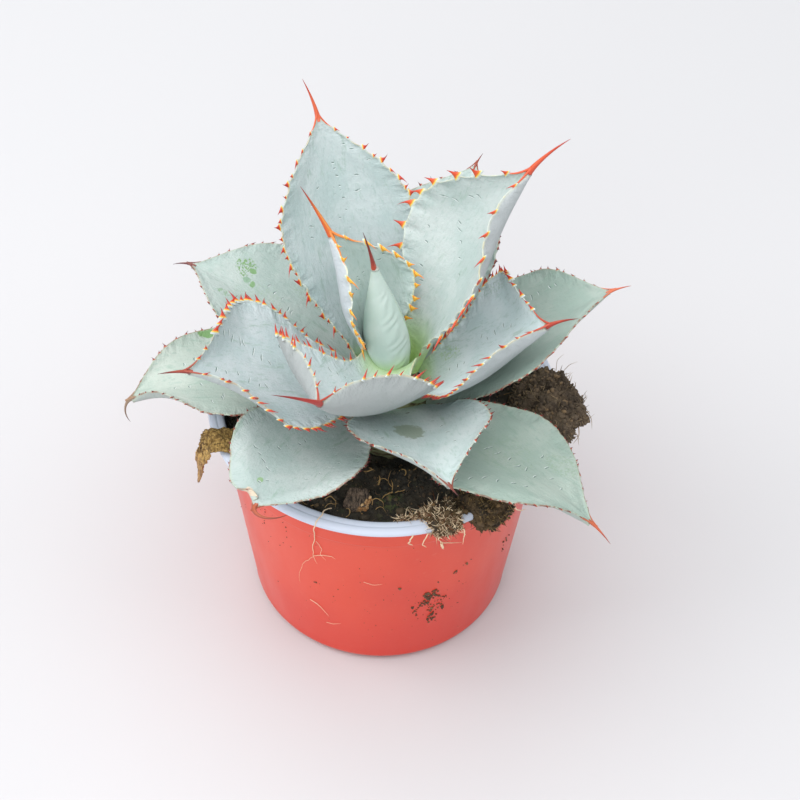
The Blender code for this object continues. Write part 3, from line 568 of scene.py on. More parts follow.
def midrib(leaf, level, steps=240):
    """The midrib's points, with its direction, the blade's left and its upper side at each."""
    s = np.linspace(0, 1, steps + 1)
    rise = np.radians(leaf["rise"][0] + (leaf["rise"][1] - leaf["rise"][0]) * s)
    heading = np.radians(leaf["azimuth"] + leaf["swing"] * s**1.3)
    along = polar(np.cos(rise), heading, np.sin(rise))
    moves = (along[1:] + along[:-1]) / 2 * leaf["length"] / steps
    centre = np.concatenate([np.zeros((1, 3)), np.cumsum(moves, 0)])
    out = FIRST_LEAF_R + LEVEL_OUT * level + leaf["out"]
    height = FIRST_LEAF_Z - LEVEL_DROP * level + leaf["lift"]
    start = STEM_AXIS + polar(out, math.radians(leaf["azimuth"]), height)
    left = leftwards(heading)
    up = np.cross(along, left)
    roll = np.radians(leaf["roll"] * smooth(s / 0.7))[:, None]
    left, up = left * np.cos(roll) + up * np.sin(roll), up * np.cos(roll) - left * np.sin(roll)
    return s, centre + start, along, left, up


def stem_radius(z):
    levels = len(LEAVES)
    foot = (STEM_TOP_Z - levels * LEVEL_DROP, STEM_TOP_R + levels * LEVEL_OUT)
    return np.interp(z, (foot[0], STEM_TOP_Z), (foot[1], STEM_TOP_R))


class Blade:
    """Tells where a share along a leaf, a share across it and a depth under its upper face lie."""

    def __init__(self, leaf, level):
        self.leaf, self.level = leaf, level
        self.s, self.centre, self.along, self.left, self.up = midrib(leaf, level)
        self.random = np.random.default_rng(level)
        self.phase = self.random.uniform(0, 6, 4)
        self.teeth = self.tooth_places()

    def tooth_places(self):
        """Share along the blade, side and size of each tooth. Most leaves have small ones in between."""
        places = []
        for side in (1, -1):
            for k in range(FIRST_TOOTH_ROW, ROWS_OF_TEETH - 1):
                between = k % 2 == 0
                if between and self.level in FAR_APART:
                    continue
                s = (k + 0.5 + self.random.uniform(-TOOTH_STRAY, TOOTH_STRAY)) / ROWS_OF_TEETH
                size = min(1, 0.45 + 2 * half_width(self.leaf, s) / self.leaf["width"])
                small = SMALL_TOOTH[self.level > YOUNG_LEVELS]
                places.append((s, side, size * self.random.uniform(0.78, 1.1) * (small if between else 1)))
        return places

    def read(self, values, s):
        return np.stack([np.interp(s, self.s, values[:, n]) for n in range(3)], -1)

    def knobs(self, s, side):
        """How far the margin stands out at the teeth and draws in between them, in millimetres."""
        swell = 0.0
        for place, on, size in self.teeth:
            if on == side:
                swell = swell + size * np.exp(-(((s - place) * self.leaf["length"] / KNOB_REACH) ** 2))
        depth = KNOB_DEPTH[self.level > YOUNG_LEVELS] * self.leaf["tooth"]
        knobs = depth * smooth((s - 0.08) / 0.1) * smooth((1.0 - s) / 0.08) * (swell - 0.5)
        if self.level == BITTEN and side < 0:
            knobs = knobs - BITE_DEPTH * np.exp(-(((s - BITE_AT) / BITE_REACH) ** 4))
            knobs = knobs + SWELL_DEPTH * np.exp(-(((s - SWELL_AT) / SWELL_REACH) ** 2))
        return knobs

    def margin_slope(self, s, t):
        leaf = self.leaf
        middle = np.where(t > 0, *leaf["fold"])
        slope = leaf["base_fold"] + (middle - leaf["base_fold"]) * smooth(s / 0.35)
        return np.radians(slope + (leaf["tip_fold"] - slope) * smooth((s - 0.6) / 0.4))

    def section(self, s, t):
        """Sideways and upwards position of the upper face, and its slope there."""
        slope, out = self.margin_slope(s, t), abs(t)
        shares = (np.arange(SECTION_STEPS) + 0.5) / SECTION_STEPS
        angles = slope[..., None] * (out[..., None] * shares) ** KEEL
        knobs = np.where(t > 0, self.knobs(s, 1), self.knobs(s, -1))
        reach = np.maximum(half_width(self.leaf, s) + knobs * smooth((out - 0.8) / 0.2), 0.5)
        wave = 0.3 * np.sin(7 * s + self.phase[0] + 2 * t) * np.sin(9 * s * t + self.phase[1])
        wave = wave + 0.25 * out**3 * np.sin(19 * s + self.phase[2] + np.sign(t) * self.phase[3])
        wave = wave - 0.7 * knobs * smooth((out - 0.72) / 0.28)
        if self.level == COLLARED:
            wave = wave + COLLAR_RISE * np.exp(-((s / COLLAR_REACH) ** 2))
        else:
            wave = wave * smooth(s / 0.2)
        reach = reach * out
        rise = reach * np.sin(angles).mean(-1) + wave * smooth((1 - s) / 0.1)
        return np.sign(t) * reach * np.cos(angles).mean(-1), rise, np.sign(t) * slope * out**KEEL

    def thickness(self, s, t):
        middle = np.interp(s, (0, 0.5, 1), (BASE_THICK, MIDDLE_THICK, TIP_THICK))
        return EDGE_THICK + (middle - EDGE_THICK) * self.leaf["plump"] * (1 - abs(t) ** 1.6)

    def foot_shift(self, point):
        """How far the point moves along the leaf so that it stands off the stem."""
        for step in np.arange(FOOT_REACH, 0, -FOOT_STEP):
            x, y, z = point + self.along[0] * step
            away = math.hypot(x - STEM_AXIS[0], y - STEM_AXIS[1])
            if away < stem_radius(z) + FOOT_GAP and z < STEM_TOP_Z + GAP:
                return step + FOOT_STEP
        return 0.0

    def faces_at(self, s, t):
        """Points of the upper and lower face, the way down through the leaf, and the way past its margin."""
        x, y, slope = (value[..., None] for value in self.section(s, t))
        left, up = self.read(self.left, s), self.read(self.up, s)
        upper = self.read(self.centre, s) + left * x + up * y
        down = left * np.sin(slope) - up * np.cos(slope)
        outward = np.sign(t)[..., None] * (left * np.cos(slope) + up * np.sin(slope))
        return upper, upper + down * self.thickness(s, t)[..., None], down, outward


def blade_mesh(shape, blade):
    """The blade as one closed skin: the upper face, a round margin, the lower face and the other margin."""
    rows = ROWS_OF_TEETH * ROW_STEPS + 1
    share = np.linspace(0, 1, rows)
    across = np.sin(np.linspace(-1, 1, COLUMNS) * math.pi / 2)
    s, t = np.meshgrid(share, across, indexing="ij")
    upper, lower, _, outward = blade.faces_at(s, t)
    half, middle = (upper - lower) / 2, (upper + lower) / 2
    turns = np.linspace(0, math.pi, EDGE_STEPS + 2)[1:-1]

    def rounded(column, order):
        reach = np.linalg.norm(half[:, column], axis=1, keepdims=True)
        for turn in order:
            ring = middle[:, column] + half[:, column] * math.cos(turn)
            yield ((ring + outward[:, column] * reach * math.sin(turn))[:, None],
                   t[:, column:column + 1], np.full((rows, 1), turn / math.pi))

    parts = [(upper, t, np.zeros_like(t)), *rounded(COLUMNS - 1, turns),
             (lower[:, ::-1], t[:, ::-1], np.ones_like(t)), *rounded(0, turns[::-1])]
    points, t, under = (np.concatenate(part, 1) for part in zip(*parts))
    s = np.broadcast_to(share[:, None], t.shape)
    shifts = np.array([blade.foot_shift(point) for point in points[0]])
    fade = np.clip(1 - share / FOOT_SHARE, 0, 1)[:, None]
    points = points + blade.read(blade.along, share)[:, None] * (fade * shifts)[..., None]
    width = half_width(blade.leaf, s)
    place = np.stack([t * width, s * blade.leaf["length"], 0 * s + PATTERN_STEP * blade.phase[0]], -1)
    shape.add(points, tube_faces(rows, points.shape[1]), 0, place=place.reshape(-1, 3),
              edge=(width * (1 - abs(t))).ravel(), under=under.ravel(), share=s.ravel())


def tooth_mesh(shape, blade, s, side, size):
    """One hooked tooth on a broad root, from inside the margin, where its skin is open, to a point."""
    s = np.array([s])
    upper, lower, down, outward = (value[0] for value in blade.faces_at(s, np.array([float(side)])))
    along = blade.read(blade.along, s)[0]
    height = blade.leaf["tooth"] * size * TOOTH_TALL * TOOTH_GROWTH.get(blade.level, 1.0)
    hook, lean = blade.random.uniform(-1.0, 0.6), blade.random.uniform(-0.1, 0.25)
    up = np.clip(TOOTH_RINGS, 0, 1)
    centre = (upper + lower) / 2 + np.outer(TOOTH_RINGS * height, outward)
    centre = centre + np.outer((lean * up + hook * up**2) * height, along)
    broad = (0.27 * height + 0.22) * (1 - up) ** 3 + 0.12 * height * (1 - up) ** 0.8 + POINT_RADIUS
    thick = (0.09 * height + 0.1) * (1 - up) ** 0.9 + POINT_RADIUS
    ring = rings(np.outer(broad, along), np.outer(-thick, down), circle(TOOTH_SIDES))
    *faces, _, end = tube_faces(len(up), TOOTH_SIDES)
    shape.add(centre[:, None] + ring, [*faces, end], 1, tooth=np.repeat(up, TOOTH_SIDES))


def print_mesh(shape, blade, first_s, first_t, last_s, last_t, count, length):
    """A row of prints that teeth left on the upper face, each a dark sliver, partly painted shade, beside a
    pale lip that is a painted highlight.
    """
    leaf, random = blade.leaf, blade.random
    u = np.linspace(-1, 1, PRINT_STEPS)
    for share in np.linspace(0, 1, count):
        middle_s = first_s + (last_s - first_s) * share + random.uniform(-0.012, 0.012)
        middle_t = first_t + (last_t - first_t) * share + random.uniform(-0.04, 0.04)
        tilt, long = random.uniform(-0.45, 0.45), length * random.uniform(0.6, 1.15)
        curve = random.uniform(-0.35, 0.35)
        for side, wide in enumerate(PRINT_HALF_WIDTHS):
            along = middle_s * leaf["length"] + u * long / 2 * math.sin(tilt)
            along = along + curve * (1 - u**2) - PRINT_APART * side
            across = middle_t * float(half_width(leaf, middle_s)) + u * long / 2 * math.cos(tilt)
            parts = []
            for off in (-wide, wide):
                s = (along + off * (1 - u**2)) / leaf["length"]
                t = across / np.maximum(half_width(leaf, s), 1)
                upper, _, down, _ = blade.faces_at(s, np.clip(t, -0.98, 0.98))
                parts += [upper - down * PRINT_PROUD, upper + down * PRINT_SUNK]
            points = np.stack([parts[0], parts[2], parts[3], parts[1]], 1)
            shape.add(points, tube_faces(PRINT_STEPS, 4), 2 + side)


def spine_mesh(shape, leaf, level):
    """The end spine: a tapering horn with a groove along its upper side, bent as it grows."""
    _, centre, along, left, up = (part[-1] for part in midrib(leaf, level))
    thick = SPINE_THICK + SPINE_THICKER * leaf["spine"]
    share = np.linspace(0, 1, SPINE_STEPS)
    rise, side = (np.radians(angle * share**SPINE_BEND)[:, None] for angle in leaf["turn"])
    way = unit(along * np.cos(rise) * np.cos(side) + up * np.sin(rise) + left * np.sin(side))
    moves = (way[1:] + way[:-1]) / 2 * leaf["spine"] / (SPINE_STEPS - 1)
    start = centre + along * GAP - up * thick / 3
    path = start + np.concatenate([np.zeros((1, 3)), np.cumsum(moves, 0)])
    path = np.concatenate([[path[0] - along * SPINE_ROOTED], path])
    way = np.concatenate([way[:1], way])
    share = np.concatenate([[0], share])
    bent = up * leaf["turn"][0] + left * leaf["turn"][1]
    hinge = unit(np.cross(along, bent)) if bent.any() else left
    above = unit(np.cross(way, hinge))
    across = np.cross(above, way)
    radius = thick * (0.75 * (1 - share) ** 0.9 + 0.25 * (1 - share) ** 4) + 0.03
    radius[0] = 0.8 * thick
    turn = circle(SPINE_SIDES)
    top = math.atan2(up @ above[0], up @ across[0])
    away = (turn - top + math.pi) % (2 * math.pi) - math.pi
    groove = 1 - GROOVE_DEPTH * np.exp(-((away / 0.45) ** 2)) * smooth((0.75 - share) / 0.5)[:, None]
    points = path[:, None] + rings(across, above, turn) * (radius[:, None] * groove)[..., None]
    # A painted highlight along the spine's upper side, kept under the name groove.
    lit = np.exp(-((away / 0.6) ** 2)) * np.ones_like(share)[:, None]
    shape.add(points, tube_faces(len(path), SPINE_SIDES, True), 0, tooth=np.repeat(share, SPINE_SIDES),
              groove=lit.ravel())


def strip_mesh(shape, blade, side, length):
    """A thin strip of horn that runs from the spine's root down one margin."""
    leaf, share = blade.leaf, np.linspace(0, 1, STRIP_STEPS)
    s = 1 - share * length / leaf["length"]
    upper, lower, _, outward = blade.faces_at(s, np.full_like(s, float(side)))
    tip = blade.centre[-1] + blade.along[-1] * (GAP + 1.6)
    drawn = np.exp(-((share * length / 1.3) ** 2))[:, None]
    path = ((upper + lower) / 2 + outward * 0.06) * (1 - drawn) + tip * drawn
    way = unit(np.gradient(path, axis=0))
    across = unit(np.cross(way, outward))
    thick = SPINE_THICK + SPINE_THICKER * leaf["spine"]
    radius = (0.08 + 0.28 * thick * (1 - share) ** 1.3) * smooth((1 - share) / 0.1) + 0.03
    ring = rings(1.25 * across, unit(np.cross(across, way)), circle(STRIP_SIDES))
    points = path[:, None] + ring * radius[:, None, None]
    # The strip carries the spine's painted highlight at 0.6 all over, under the name groove.
    shape.add(points, tube_faces(STRIP_STEPS, STRIP_SIDES, True), 0,
              tooth=np.repeat(0.12 * (1 - share), STRIP_SIDES), groove=np.full(points[..., 0].size, 0.6))


def leaf_look(name, level, age):
    """Waxy blue-green skin: greener where it is old, lime at a young base, pale lilac-grey underneath,
    darkened there as painted shade.
    """
    # The skin colour is partly painted light: some leaves are set lighter or darker for how lit they are.
    lit_wax = LIT_WAXES[level - 1]
    look = Look(name, lit_wax, 0.62)
    place = look.named("place", 1)
    edge, under, share = (look.named(key) for key in ("edge", "under", "share"))

    def grain(stretch, *settings):
        return look.noise(look.vector("MULTIPLY", place, stretch), *settings)

    deep = tuple(channel - drop for channel, drop in zip(lit_wax, (13, 8, 9)))
    look.wash(deep, look.noise(place, 0.09, 3.0, 0.55), 0.35, 0.65)
    fine = grain((1, 0.35, 1), 1.1, 4.0, 0.65)
    look.wash(blend(deep, (146, 174, 164), 0.48), fine, 0.5, 0.72, 0.6 + 0.15 * age)
    look.wash((150, 176, 162), grain((1, 0.2, 1), 0.45, 4.0, 0.7), 0.56, 0.7, 0.5 + 0.25 * age)
    # The underside's own lilac-grey, darkened as painted shade.
    look.wash(blend(SHADED_UNDERSIDES.get(level, (170, 174, 180)), (176, 188, 182), age), under, 0.3, 0.7, 0.85)
    if level <= 2:
        look.wash((190, 222, 138), share, 0.27, 0.04, 0.95)
    elif level <= 5:
        look.wash((186, 214, 150), share, 0.15, 0.02, 0.75)
    # Stains, and on leaf 9 one band of painted shade.
    for *spot, tint, strength in STAINS_AND_SHADE.get(level, ()):
        look.paint(tint, look.times(look.patch(place, LEAVES[level - 1], *spot), strength))
    crowded = look.math("MULTIPLY_ADD", look.between(look.noise(place, 0.13), 0.45, 0.65), 0.6, 0.25)
    specks = look.times(look.dots(place, 1.15, 0.17, 0.86), crowded)
    look.paint((98, 116, 110), look.times(specks, 0.65 + 0.3 * age))
    look.wash(blend((218, 226, 206), (176, 186, 156), age), edge, 0.6, 0.1, 0.35)
    broken = look.times(look.between(look.noise(place, 0.5), 0.42, 0.6), 0.4 + 0.4 * age)
    line = look.times(look.between(edge, 0.12, 0.03), broken)
    look.paint(blend((220, 214, 160), (128, 78, 62), age), line)
    look.relief(grain((1, 0.5, 1), 0.5, 4.0, 0.65), 0.5, 0.75)
    near = look.math("MAXIMUM", look.between(edge, 7.0, 0.6), 0.15)
    look.relief(look.times(grain((0.5, 1, 1), 0.36, 3.0, 0.6), near), 1.3, 0.8)
    look.relief(look.noise(place, 2.4, 3.0, 0.75), 0.12, 0.7)
    return look


def print_look(name, lit_wax, tint, share, roughness):
    """The dark sliver of a tooth's print, partly its own green and partly painted shade, or the pale lip
    beside it, a painted highlight.
    """
    look = Look(name, blend(lit_wax, tint, share), roughness, lit_wax)
    worn = look.between(look.noise(look.place(), 1.2), 0.35, 0.65)
    look.paint(tint, look.math("MULTIPLY_ADD", worn, 0.45, 0.48))
    return look


def horn_look(name, steps, top_highlight=None):
    """Horn, with its colours as steps of (share of the way to its point, colour). Its upper side along the
    groove may carry a painted highlight.
    """
    look = Look(name, steps[-1][1], 0.36, steps[0][1])
    blotch = look.math("SUBTRACT", look.noise(look.place(), 0.9), 0.5)
    up = look.math("ADD", look.named("tooth"), look.times(blotch, 0.1))
    for (before, _), (at, colour) in zip(steps, steps[1:]):
        look.wash(colour, up, before, at)
    # The painted highlight along the upper side, fading towards the point.
    if top_highlight:
        lit = look.times(look.named("groove"), look.between(up, 0.85, 0.3))
        look.paint(top_highlight, look.times(lit, 0.8))
    look.relief(look.noise(look.place(1, 1, 0.4), 3.0, 3.0), 0.05, 0.5)
    return look


def tooth_steps(level, age):
    """The colours of a leaf's teeth, from the skin's at their roots to their points."""
    lit_wax = LIT_WAXES[level - 1]
    if age >= 0.6:
        return [(0.0, lit_wax), (0.08, blend(ORANGE, MAROON, 0.3)), (0.3, (132, 50, 46)), (1.0, (78, 38, 42))]
    root = [(0.0, lit_wax), (0.04, blend(CREAM, DULL, age)), (0.1, YELLOW), (0.18, ORANGE)]
    if level == 1:
        return root + [(0.3, (248, 190, 62)), (0.7, (242, 150, 50)), (1.0, (224, 92, 48))]
    fresh = max(0.3 - age, 0) / 0.3
    return root + [(0.32, blend(RED, (224, 88, 50), fresh)), (1.0, blend((172, 44, 42), (108, 38, 42), age))]


def make_leaves():
    for level, (leaf, age, (root, point), strip) in enumerate(zip(LEAVES, AGES, HORNS, STRIPS), 1):
        name = f"leaf_{level:02d}"
        blade, shape, spine, lit_wax = Blade(leaf, level), Shape(), Shape(), LIT_WAXES[level - 1]
        blade_mesh(shape, blade)
        for s, side, size in blade.teeth:
            tooth_mesh(shape, blade, s, side, size)
        for row in PRINTS[level]:
            print_mesh(shape, blade, *row)
        # The prints' dark slivers are partly painted shade, and their pale lips are painted highlights.
        looks = [leaf_look(name + "_skin", level, age), horn_look(name + "_teeth", tooth_steps(level, age)),
                 print_look(name + "_print", lit_wax, PRINT_DARK, 0.66, 0.7),
                 print_look(name + "_lip_highlight", lit_wax, PRINT_HIGHLIGHT, 0.6, 0.6)]
        shape.make(name + "_blade", looks, "leaf", [name])
        spine_mesh(spine, leaf, level)
        for side in (1, -1):
            strip_mesh(spine, blade, side, strip)
        steps = [(0.0, root), (0.35, root), (0.7, blend(root, point, 0.5)), (1.0, point)]
        # The colour of the painted highlight on the spine's upper side.
        top_highlight = (246, 170, 84) if level == 1 else blend(root, (236, 150, 96), 0.35)
        spine.make(name + "_thorn", [horn_look(name + "_horn", steps, top_highlight)], "spine", [name + "_spine"])


def bud_mesh(shape):
    """The rolled bud. Its outer leaf's edge is a step down its right side, and old teeth have dented it."""
    s, centre, _, left, up = midrib(BUD, 0, BUD_ROWS)
    radii = np.interp(s, *zip(*BUD_RADII))
    radii = np.convolve(np.pad(radii, 6, "edge"), np.full(13, 1 / 13), "valid")
    turn = np.linspace(0, 1, BUD_SIDES)
    angle = 2 * math.pi * turn + BUD_SEAM
    reach = radii[:, None] * (0.93 + 0.10 * turn)
    dents = np.sin(s[:, None] * 78 + 5 * np.sin(turn * 11) + 1.5 * np.sin(s[:, None] * 31))
    dents = dents * np.exp(-(((turn - 0.87) / 0.075) ** 2))
    reach = reach + 0.15 * dents * smooth((s - 0.15) / 0.1)[:, None] * smooth((0.92 - s) / 0.2)[:, None]
    points = centre[:, None] + rings(left, up, angle) * reach[..., None]
    flat = np.stack([reach * (angle - BUD_SEAM), np.broadcast_to(s[:, None] * BUD["length"], reach.shape),
                     0 * reach + 7], -1)
    edge = reach * 2 * math.pi * (1 - turn)
    shape.add(points, tube_faces(BUD_ROWS + 1, BUD_SIDES, True), 0, place=flat.reshape(-1, 3),
              edge=edge.ravel(), share=np.repeat(s, BUD_SIDES))


def bud_look():
    """Soft pale green, lime towards its foot, with a fine light edge down the seam."""
    look = Look("bud_skin", (200, 216, 208), 0.6, (204, 219, 212))
    place, edge, share = look.named("place", 1), look.named("edge"), look.named("share")
    look.wash((194, 212, 203), look.noise(place, 0.12, 3.0), 0.35, 0.65)
    look.wash((176, 212, 112), share, 0.34, 0.02, 0.95)
    line = look.times(look.between(edge, 0.8, 0.25), look.between(share, 0.75, 0.35))
    look.paint((138, 172, 80), look.times(line, 0.8))
    look.relief(look.noise(place, 0.8, 3.0), 0.12, 0.5)
    return look


def make_bud():
    shape, spine = Shape(), Shape()
    bud_mesh(shape)
    shape.make("bud_roll", [bud_look()], "leaf", ["bud"])
    spine_mesh(spine, BUD, 0)
    steps = [(0.0, (190, 76, 52)), (0.2, BUD_HORN[0]), (0.6, blend(*BUD_HORN, 0.5)), (1.0, BUD_HORN[1])]
    spine.make("bud_thorn", [horn_look("bud_horn", steps)], "spine", ["bud_spine"])


def stem_look():
    """The short stem's pale skin, ringed by the scars of old leaves."""
    look = Look("stem_skin", (150, 156, 118), 0.75, (164, 170, 128))
    scars = look.noise(look.place(0.25, 0.25, 1.6), 0.8, 3.0)
    look.wash((104, 88, 64), scars, 0.4, 0.62)
    look.relief(scars, 0.6, 0.8)
    return look


def turned(profile, segments):
    """Points of a (radius, height) profile turned about Z."""
    profile = np.array(profile, float)
    return polar(profile[:, :1], circle(segments), profile[:, 1:])


def arc(middle, radius, first, last, steps):
    """Points of an arc in a profile, between two angles in degrees."""
    angles = np.radians(np.linspace(first, last, steps))
    return [(middle[0] + radius * math.cos(a), middle[1] + radius * math.sin(a)) for a in angles]


def pot_outside():
    """Underside, rounded foot and wall, up to where the rim's bead begins, from the middle outwards."""
    foot = [(0.01, 0), (DISC_RADIUS, 0), (DISC_RADIUS + CHANNEL_SLOPE, CHANNEL_RISE)]
    foot += [(RING_IN - CHANNEL_SLOPE, CHANNEL_RISE), (RING_IN, 0)]
    corner = arc((BASE_RADIUS - FOOT_ROUND, FOOT_ROUND), FOOT_ROUND, -85, -8, 12)
    low, high = np.array([BASE_RADIUS, WALL_FOOT_Z]), np.array([NECK_RADIUS - STEP_IN, STEP_Z - 0.5])
    wall = [tuple(low + (high - low) * share) for share in np.linspace(0, 1, 24)]
    step = [(NECK_RADIUS - STEP_IN + 0.05, STEP_Z - 0.25), (NECK_RADIUS - 0.55 * STEP_IN, STEP_Z + 0.05)]
    step += [(NECK_RADIUS - 0.5 * STEP_IN, STEP_Z + 0.4)]
    return foot + corner + wall + step


def pot_rim():
    """The rolled bead, from the neck over the top with its fine groove to the inner lip."""
    under, lip, top = POT_HEIGHT - RIM_DEPTH, RIM_RADIUS - RIM_WIDTH, POT_HEIGHT
    bead = [(NECK_RADIUS - 0.05, under - 0.9), (NECK_RADIUS, under - 0.3), (NECK_RADIUS + 0.3, under)]
    bead += arc((RIM_RADIUS - 0.6, under + 0.6), 0.6, -90, 0, 6)
    bead += [(RIM_RADIUS - 0.12, under + 1.05), (RIM_RADIUS - 0.5, under + 1.5)]
    bead += [(RIM_RADIUS - 1.1, under + 1.82), (RIM_RADIUS - 1.7, top - 0.05), (RIM_RADIUS - 2.0, top)]
    bead += [(RIM_RADIUS - 2.2, top - 0.2), (RIM_RADIUS - 2.4, top)]
    bead += arc((lip + 0.9, top - 0.9), 0.9, 85, 180, 8)
    return bead + [(lip + 0.02, top - 1.7), (lip - 0.2, top - 3.0)]


def pot_inside(gap=0.0):
    """From the lower wall to the middle of the floor inwards, moved off the plastic by the gap."""
    bowl = BASE_RADIUS - 1.1 * WALL - gap
    low, high = FLOOR + gap, FLOOR + CHANNEL_RISE + gap
    wall = [(NECK_RADIUS - STEP_IN - WALL - gap, STEP_Z), (bowl, 4.6), (bowl - 1.0, low + 1.0)]
    floor = [(RING_OUT - 0.4, low), (RING_IN + 0.8, low), (RING_IN - 1.4, high)]
    return wall + floor + [(DISC_RADIUS + 1.4, high), (DISC_RADIUS - 0.8, low), (0.01, low)]


def terracotta_look():
    """Smooth thin plastic, a little streaked and dusty, and darker towards its foot as painted shade."""
    look = Look("pot_terracotta", (226, 74, 48), 0.38, (228, 74, 46), Coat_Weight=0.03, Coat_Roughness=0.3)
    place = look.place()
    look.wash((218, 62, 40), look.noise(place, 0.02), 0.35, 0.65)
    # Darker towards the foot: painted shade.
    look.wash((216, 46, 30), look.node("SeparateXYZ", {0: place}, 2), 40.0, 6.0, 0.5)
    look.wash((232, 150, 120), look.noise(place, 0.5, 4.0, 0.7), 0.6, 0.75, 0.14)
    smear = look.noise(look.place(1, 1, 0.3), 0.12, 4.0, 0.6)
    look.set("Roughness", look.math("MULTIPLY_ADD", smear, 0.22, 0.24))
    look.relief(look.noise(place, 0.35, 3.0), 0.05, 0.4)
    return look


def lining_look():
    """The pale plastic of the bead and the inside, with soil stains."""
    look = Look("pot_lining", (204, 212, 226), 0.42, (204, 212, 228))
    place = look.place()
    look.wash((150, 138, 128), look.noise(place, 0.35, 5.0, 0.75), 0.62, 0.8, 0.5)
    look.relief(look.noise(place, 0.5, 3.0), 0.05, 0.4)
    return look


def make_pot():
    """The pot in two colours: terracotta outside, pale grey-blue on the bead and the inside."""
    outside = pot_outside()
    profile = outside + pot_rim() + pot_inside()
    shape, cutter = Shape(), Shape()
    *walls, first, last = tube_faces(len(profile), POT_SEGMENTS, True)
    shape.add(turned(profile, POT_SEGMENTS), [first, *walls, last])
    shape.looks = [int(min(face) >= len(outside) * POT_SEGMENTS) for face in shape.faces]
    pot = shape.make("pot_two_tone", [terracotta_look(), lining_look()], "pot_plastic", ["pot"])
    drain = [(DRAIN_RADIUS, CHANNEL_RISE - CUT_PAST), (DRAIN_RADIUS, CHANNEL_RISE + FLOOR + CUT_PAST)]
    for hole in range(DRAIN_COUNT):
        at = polar((DISC_RADIUS + RING_IN) / 2, 2 * math.pi * (hole + 0.5) / DRAIN_COUNT)
        cutter.add(turned(drain, DRAIN_SEGMENTS) + at, tube_faces(2, DRAIN_SEGMENTS, True))
    tool = put("drain_cutter", cutter.mesh("drain_cutter"))
    cut = pot.modifiers.new("drain_holes", "BOOLEAN")
    cut.operation = "DIFFERENCE"
    cut.object = tool
    keep_modified(pot)
    bpy.data.objects.remove(tool)


def keep_modified(piece):
    """Makes what the modifiers give the piece's own mesh."""
    graph = bpy.context.evaluated_depsgraph_get()
    mesh = bpy.data.meshes.new_from_object(piece.evaluated_get(graph), depsgraph=graph)
    piece.modifiers.clear()
    piece.data = mesh


def rough(points, scale, octaves, seed):
    """Fractal noise from -1 to 1 at points in millimetres, with lumps as wide as the scale."""
    offset = Vector((seed * 17.3, seed * 5.1, seed * 9.7))
    return np.array([noise.fractal(Vector(p / scale) + offset, 0.9, 2.0, octaves) for p in points])


def soil_top(points):
    """Height of the crumbly soil over points (x, y): a dish round the stem, with soft and fine lumps."""
    x, y = points.T
    away = np.hypot(x - STEM_AXIS[0], y - STEM_AXIS[1])
    lumps = np.sin(0.61 * x + 1) * np.sin(0.53 * y) + 0.6 * np.sin(1.13 * x - 0.97 * y)
    broad = SOIL_Z - SOIL_DISH * smooth((DISH_OUT - away) / (DISH_OUT - DISH_IN)) + SOIL_LUMP * lumps
    flat = np.column_stack([points, 0 * x])
    return broad + (0.9 * rough(flat, 6.0, 5, 1) + 0.45 * abs(rough(flat, 1.8, 3, 2)))


def crumbs(shape, places, sizes, random, look=0, flat=0.75):
    """Small irregular grains, each a dented ball of its own proportions and turn."""
    golden = (1 + math.sqrt(5)) / 2
    ball = np.array([(a, b * golden, 0) for a in (-1, 1) for b in (-1, 1)])
    ball = np.concatenate([ball, ball[:, [2, 0, 1]], ball[:, [1, 2, 0]]]) / math.hypot(1, golden)
    count, corners = len(places), len(ball)
    grown = ball[None] * random.uniform(0.65, 1.25, (count, corners, 1))
    grown = grown * random.uniform(0.6, 1.3, (count, 1, 3))
    axes = np.linalg.qr(random.normal(size=(count, 3, 3)))[0]
    grown = np.einsum("nij,nkj->nki", axes, grown) * np.asarray(sizes)[:, None, None] / 2
    grown[..., 2] *= flat
    faces = (np.array(BALL_FACES)[None] + corners * np.arange(count)[:, None, None]).reshape(-1, 3)
    tones = np.repeat(random.uniform(0, 1, count), corners)
    shape.add(grown + np.asarray(places)[:, None], list(faces), look, tone=tones)


def tube(shape, path, radius, look, sides, tone):
    """A thin round strand along a path, tapering to a point at its end."""
    way = unit(np.gradient(path, axis=0))
    across = unit(np.cross(way, (0.31, 0.52, 0.79)))
    thick = radius * (1 - np.linspace(0, 1, len(path)) ** 3 * 0.85)[:, None, None]
    points = path[:, None] + rings(across, np.cross(way, across), circle(sides)) * thick
    shape.add(points, tube_faces(len(path), sides), look, tone=np.full(len(path) * sides, tone))


def strand(random, start, way, length, curl, steps=10):
    """A path that wanders as it goes, like a dry root."""
    way = np.array(way, float) / np.linalg.norm(way)
    turn = random.normal(size=3) * curl
    path = [np.array(start, float)]
    for _ in range(steps):
        turn = turn * 0.8 + random.normal(size=3) * curl * 0.6
        way = unit(way + turn / steps * 3)
        path.append(path[-1] + way * length / steps)
    return np.array(path)


def fibres(shape, random, starts, ways, length, radius, look, curl):
    for start, way in zip(starts, ways):
        path = strand(random, start, way, random.uniform(*length), curl)
        tube(shape, path[::2], random.uniform(*radius), look, 4, random.uniform(0, 1))


def rounded_path(corners):
    """A path with its corners rounded off."""
    corners = np.array(corners, float)
    at = np.linspace(0, len(corners) - 1, 6 * len(corners))
    path = np.stack([np.interp(at, np.arange(len(corners)), corners[:, n]) for n in range(3)], 1)
    for _ in range(4):
        path[1:-1] = (path[:-2] + 2 * path[1:-1] + path[2:]) / 4
    return path


def wall_radius(z):
    """Radius of the pot's outer wall at a height."""
    heights = (0.8, WALL_FOOT_Z, STEP_Z - 0.5, STEP_Z + 0.4, POT_HEIGHT - RIM_DEPTH)
    step = NECK_RADIUS - STEP_IN
    return np.interp(z, heights, (BASE_RADIUS - 2, BASE_RADIUS, step, step + 0.5, NECK_RADIUS))


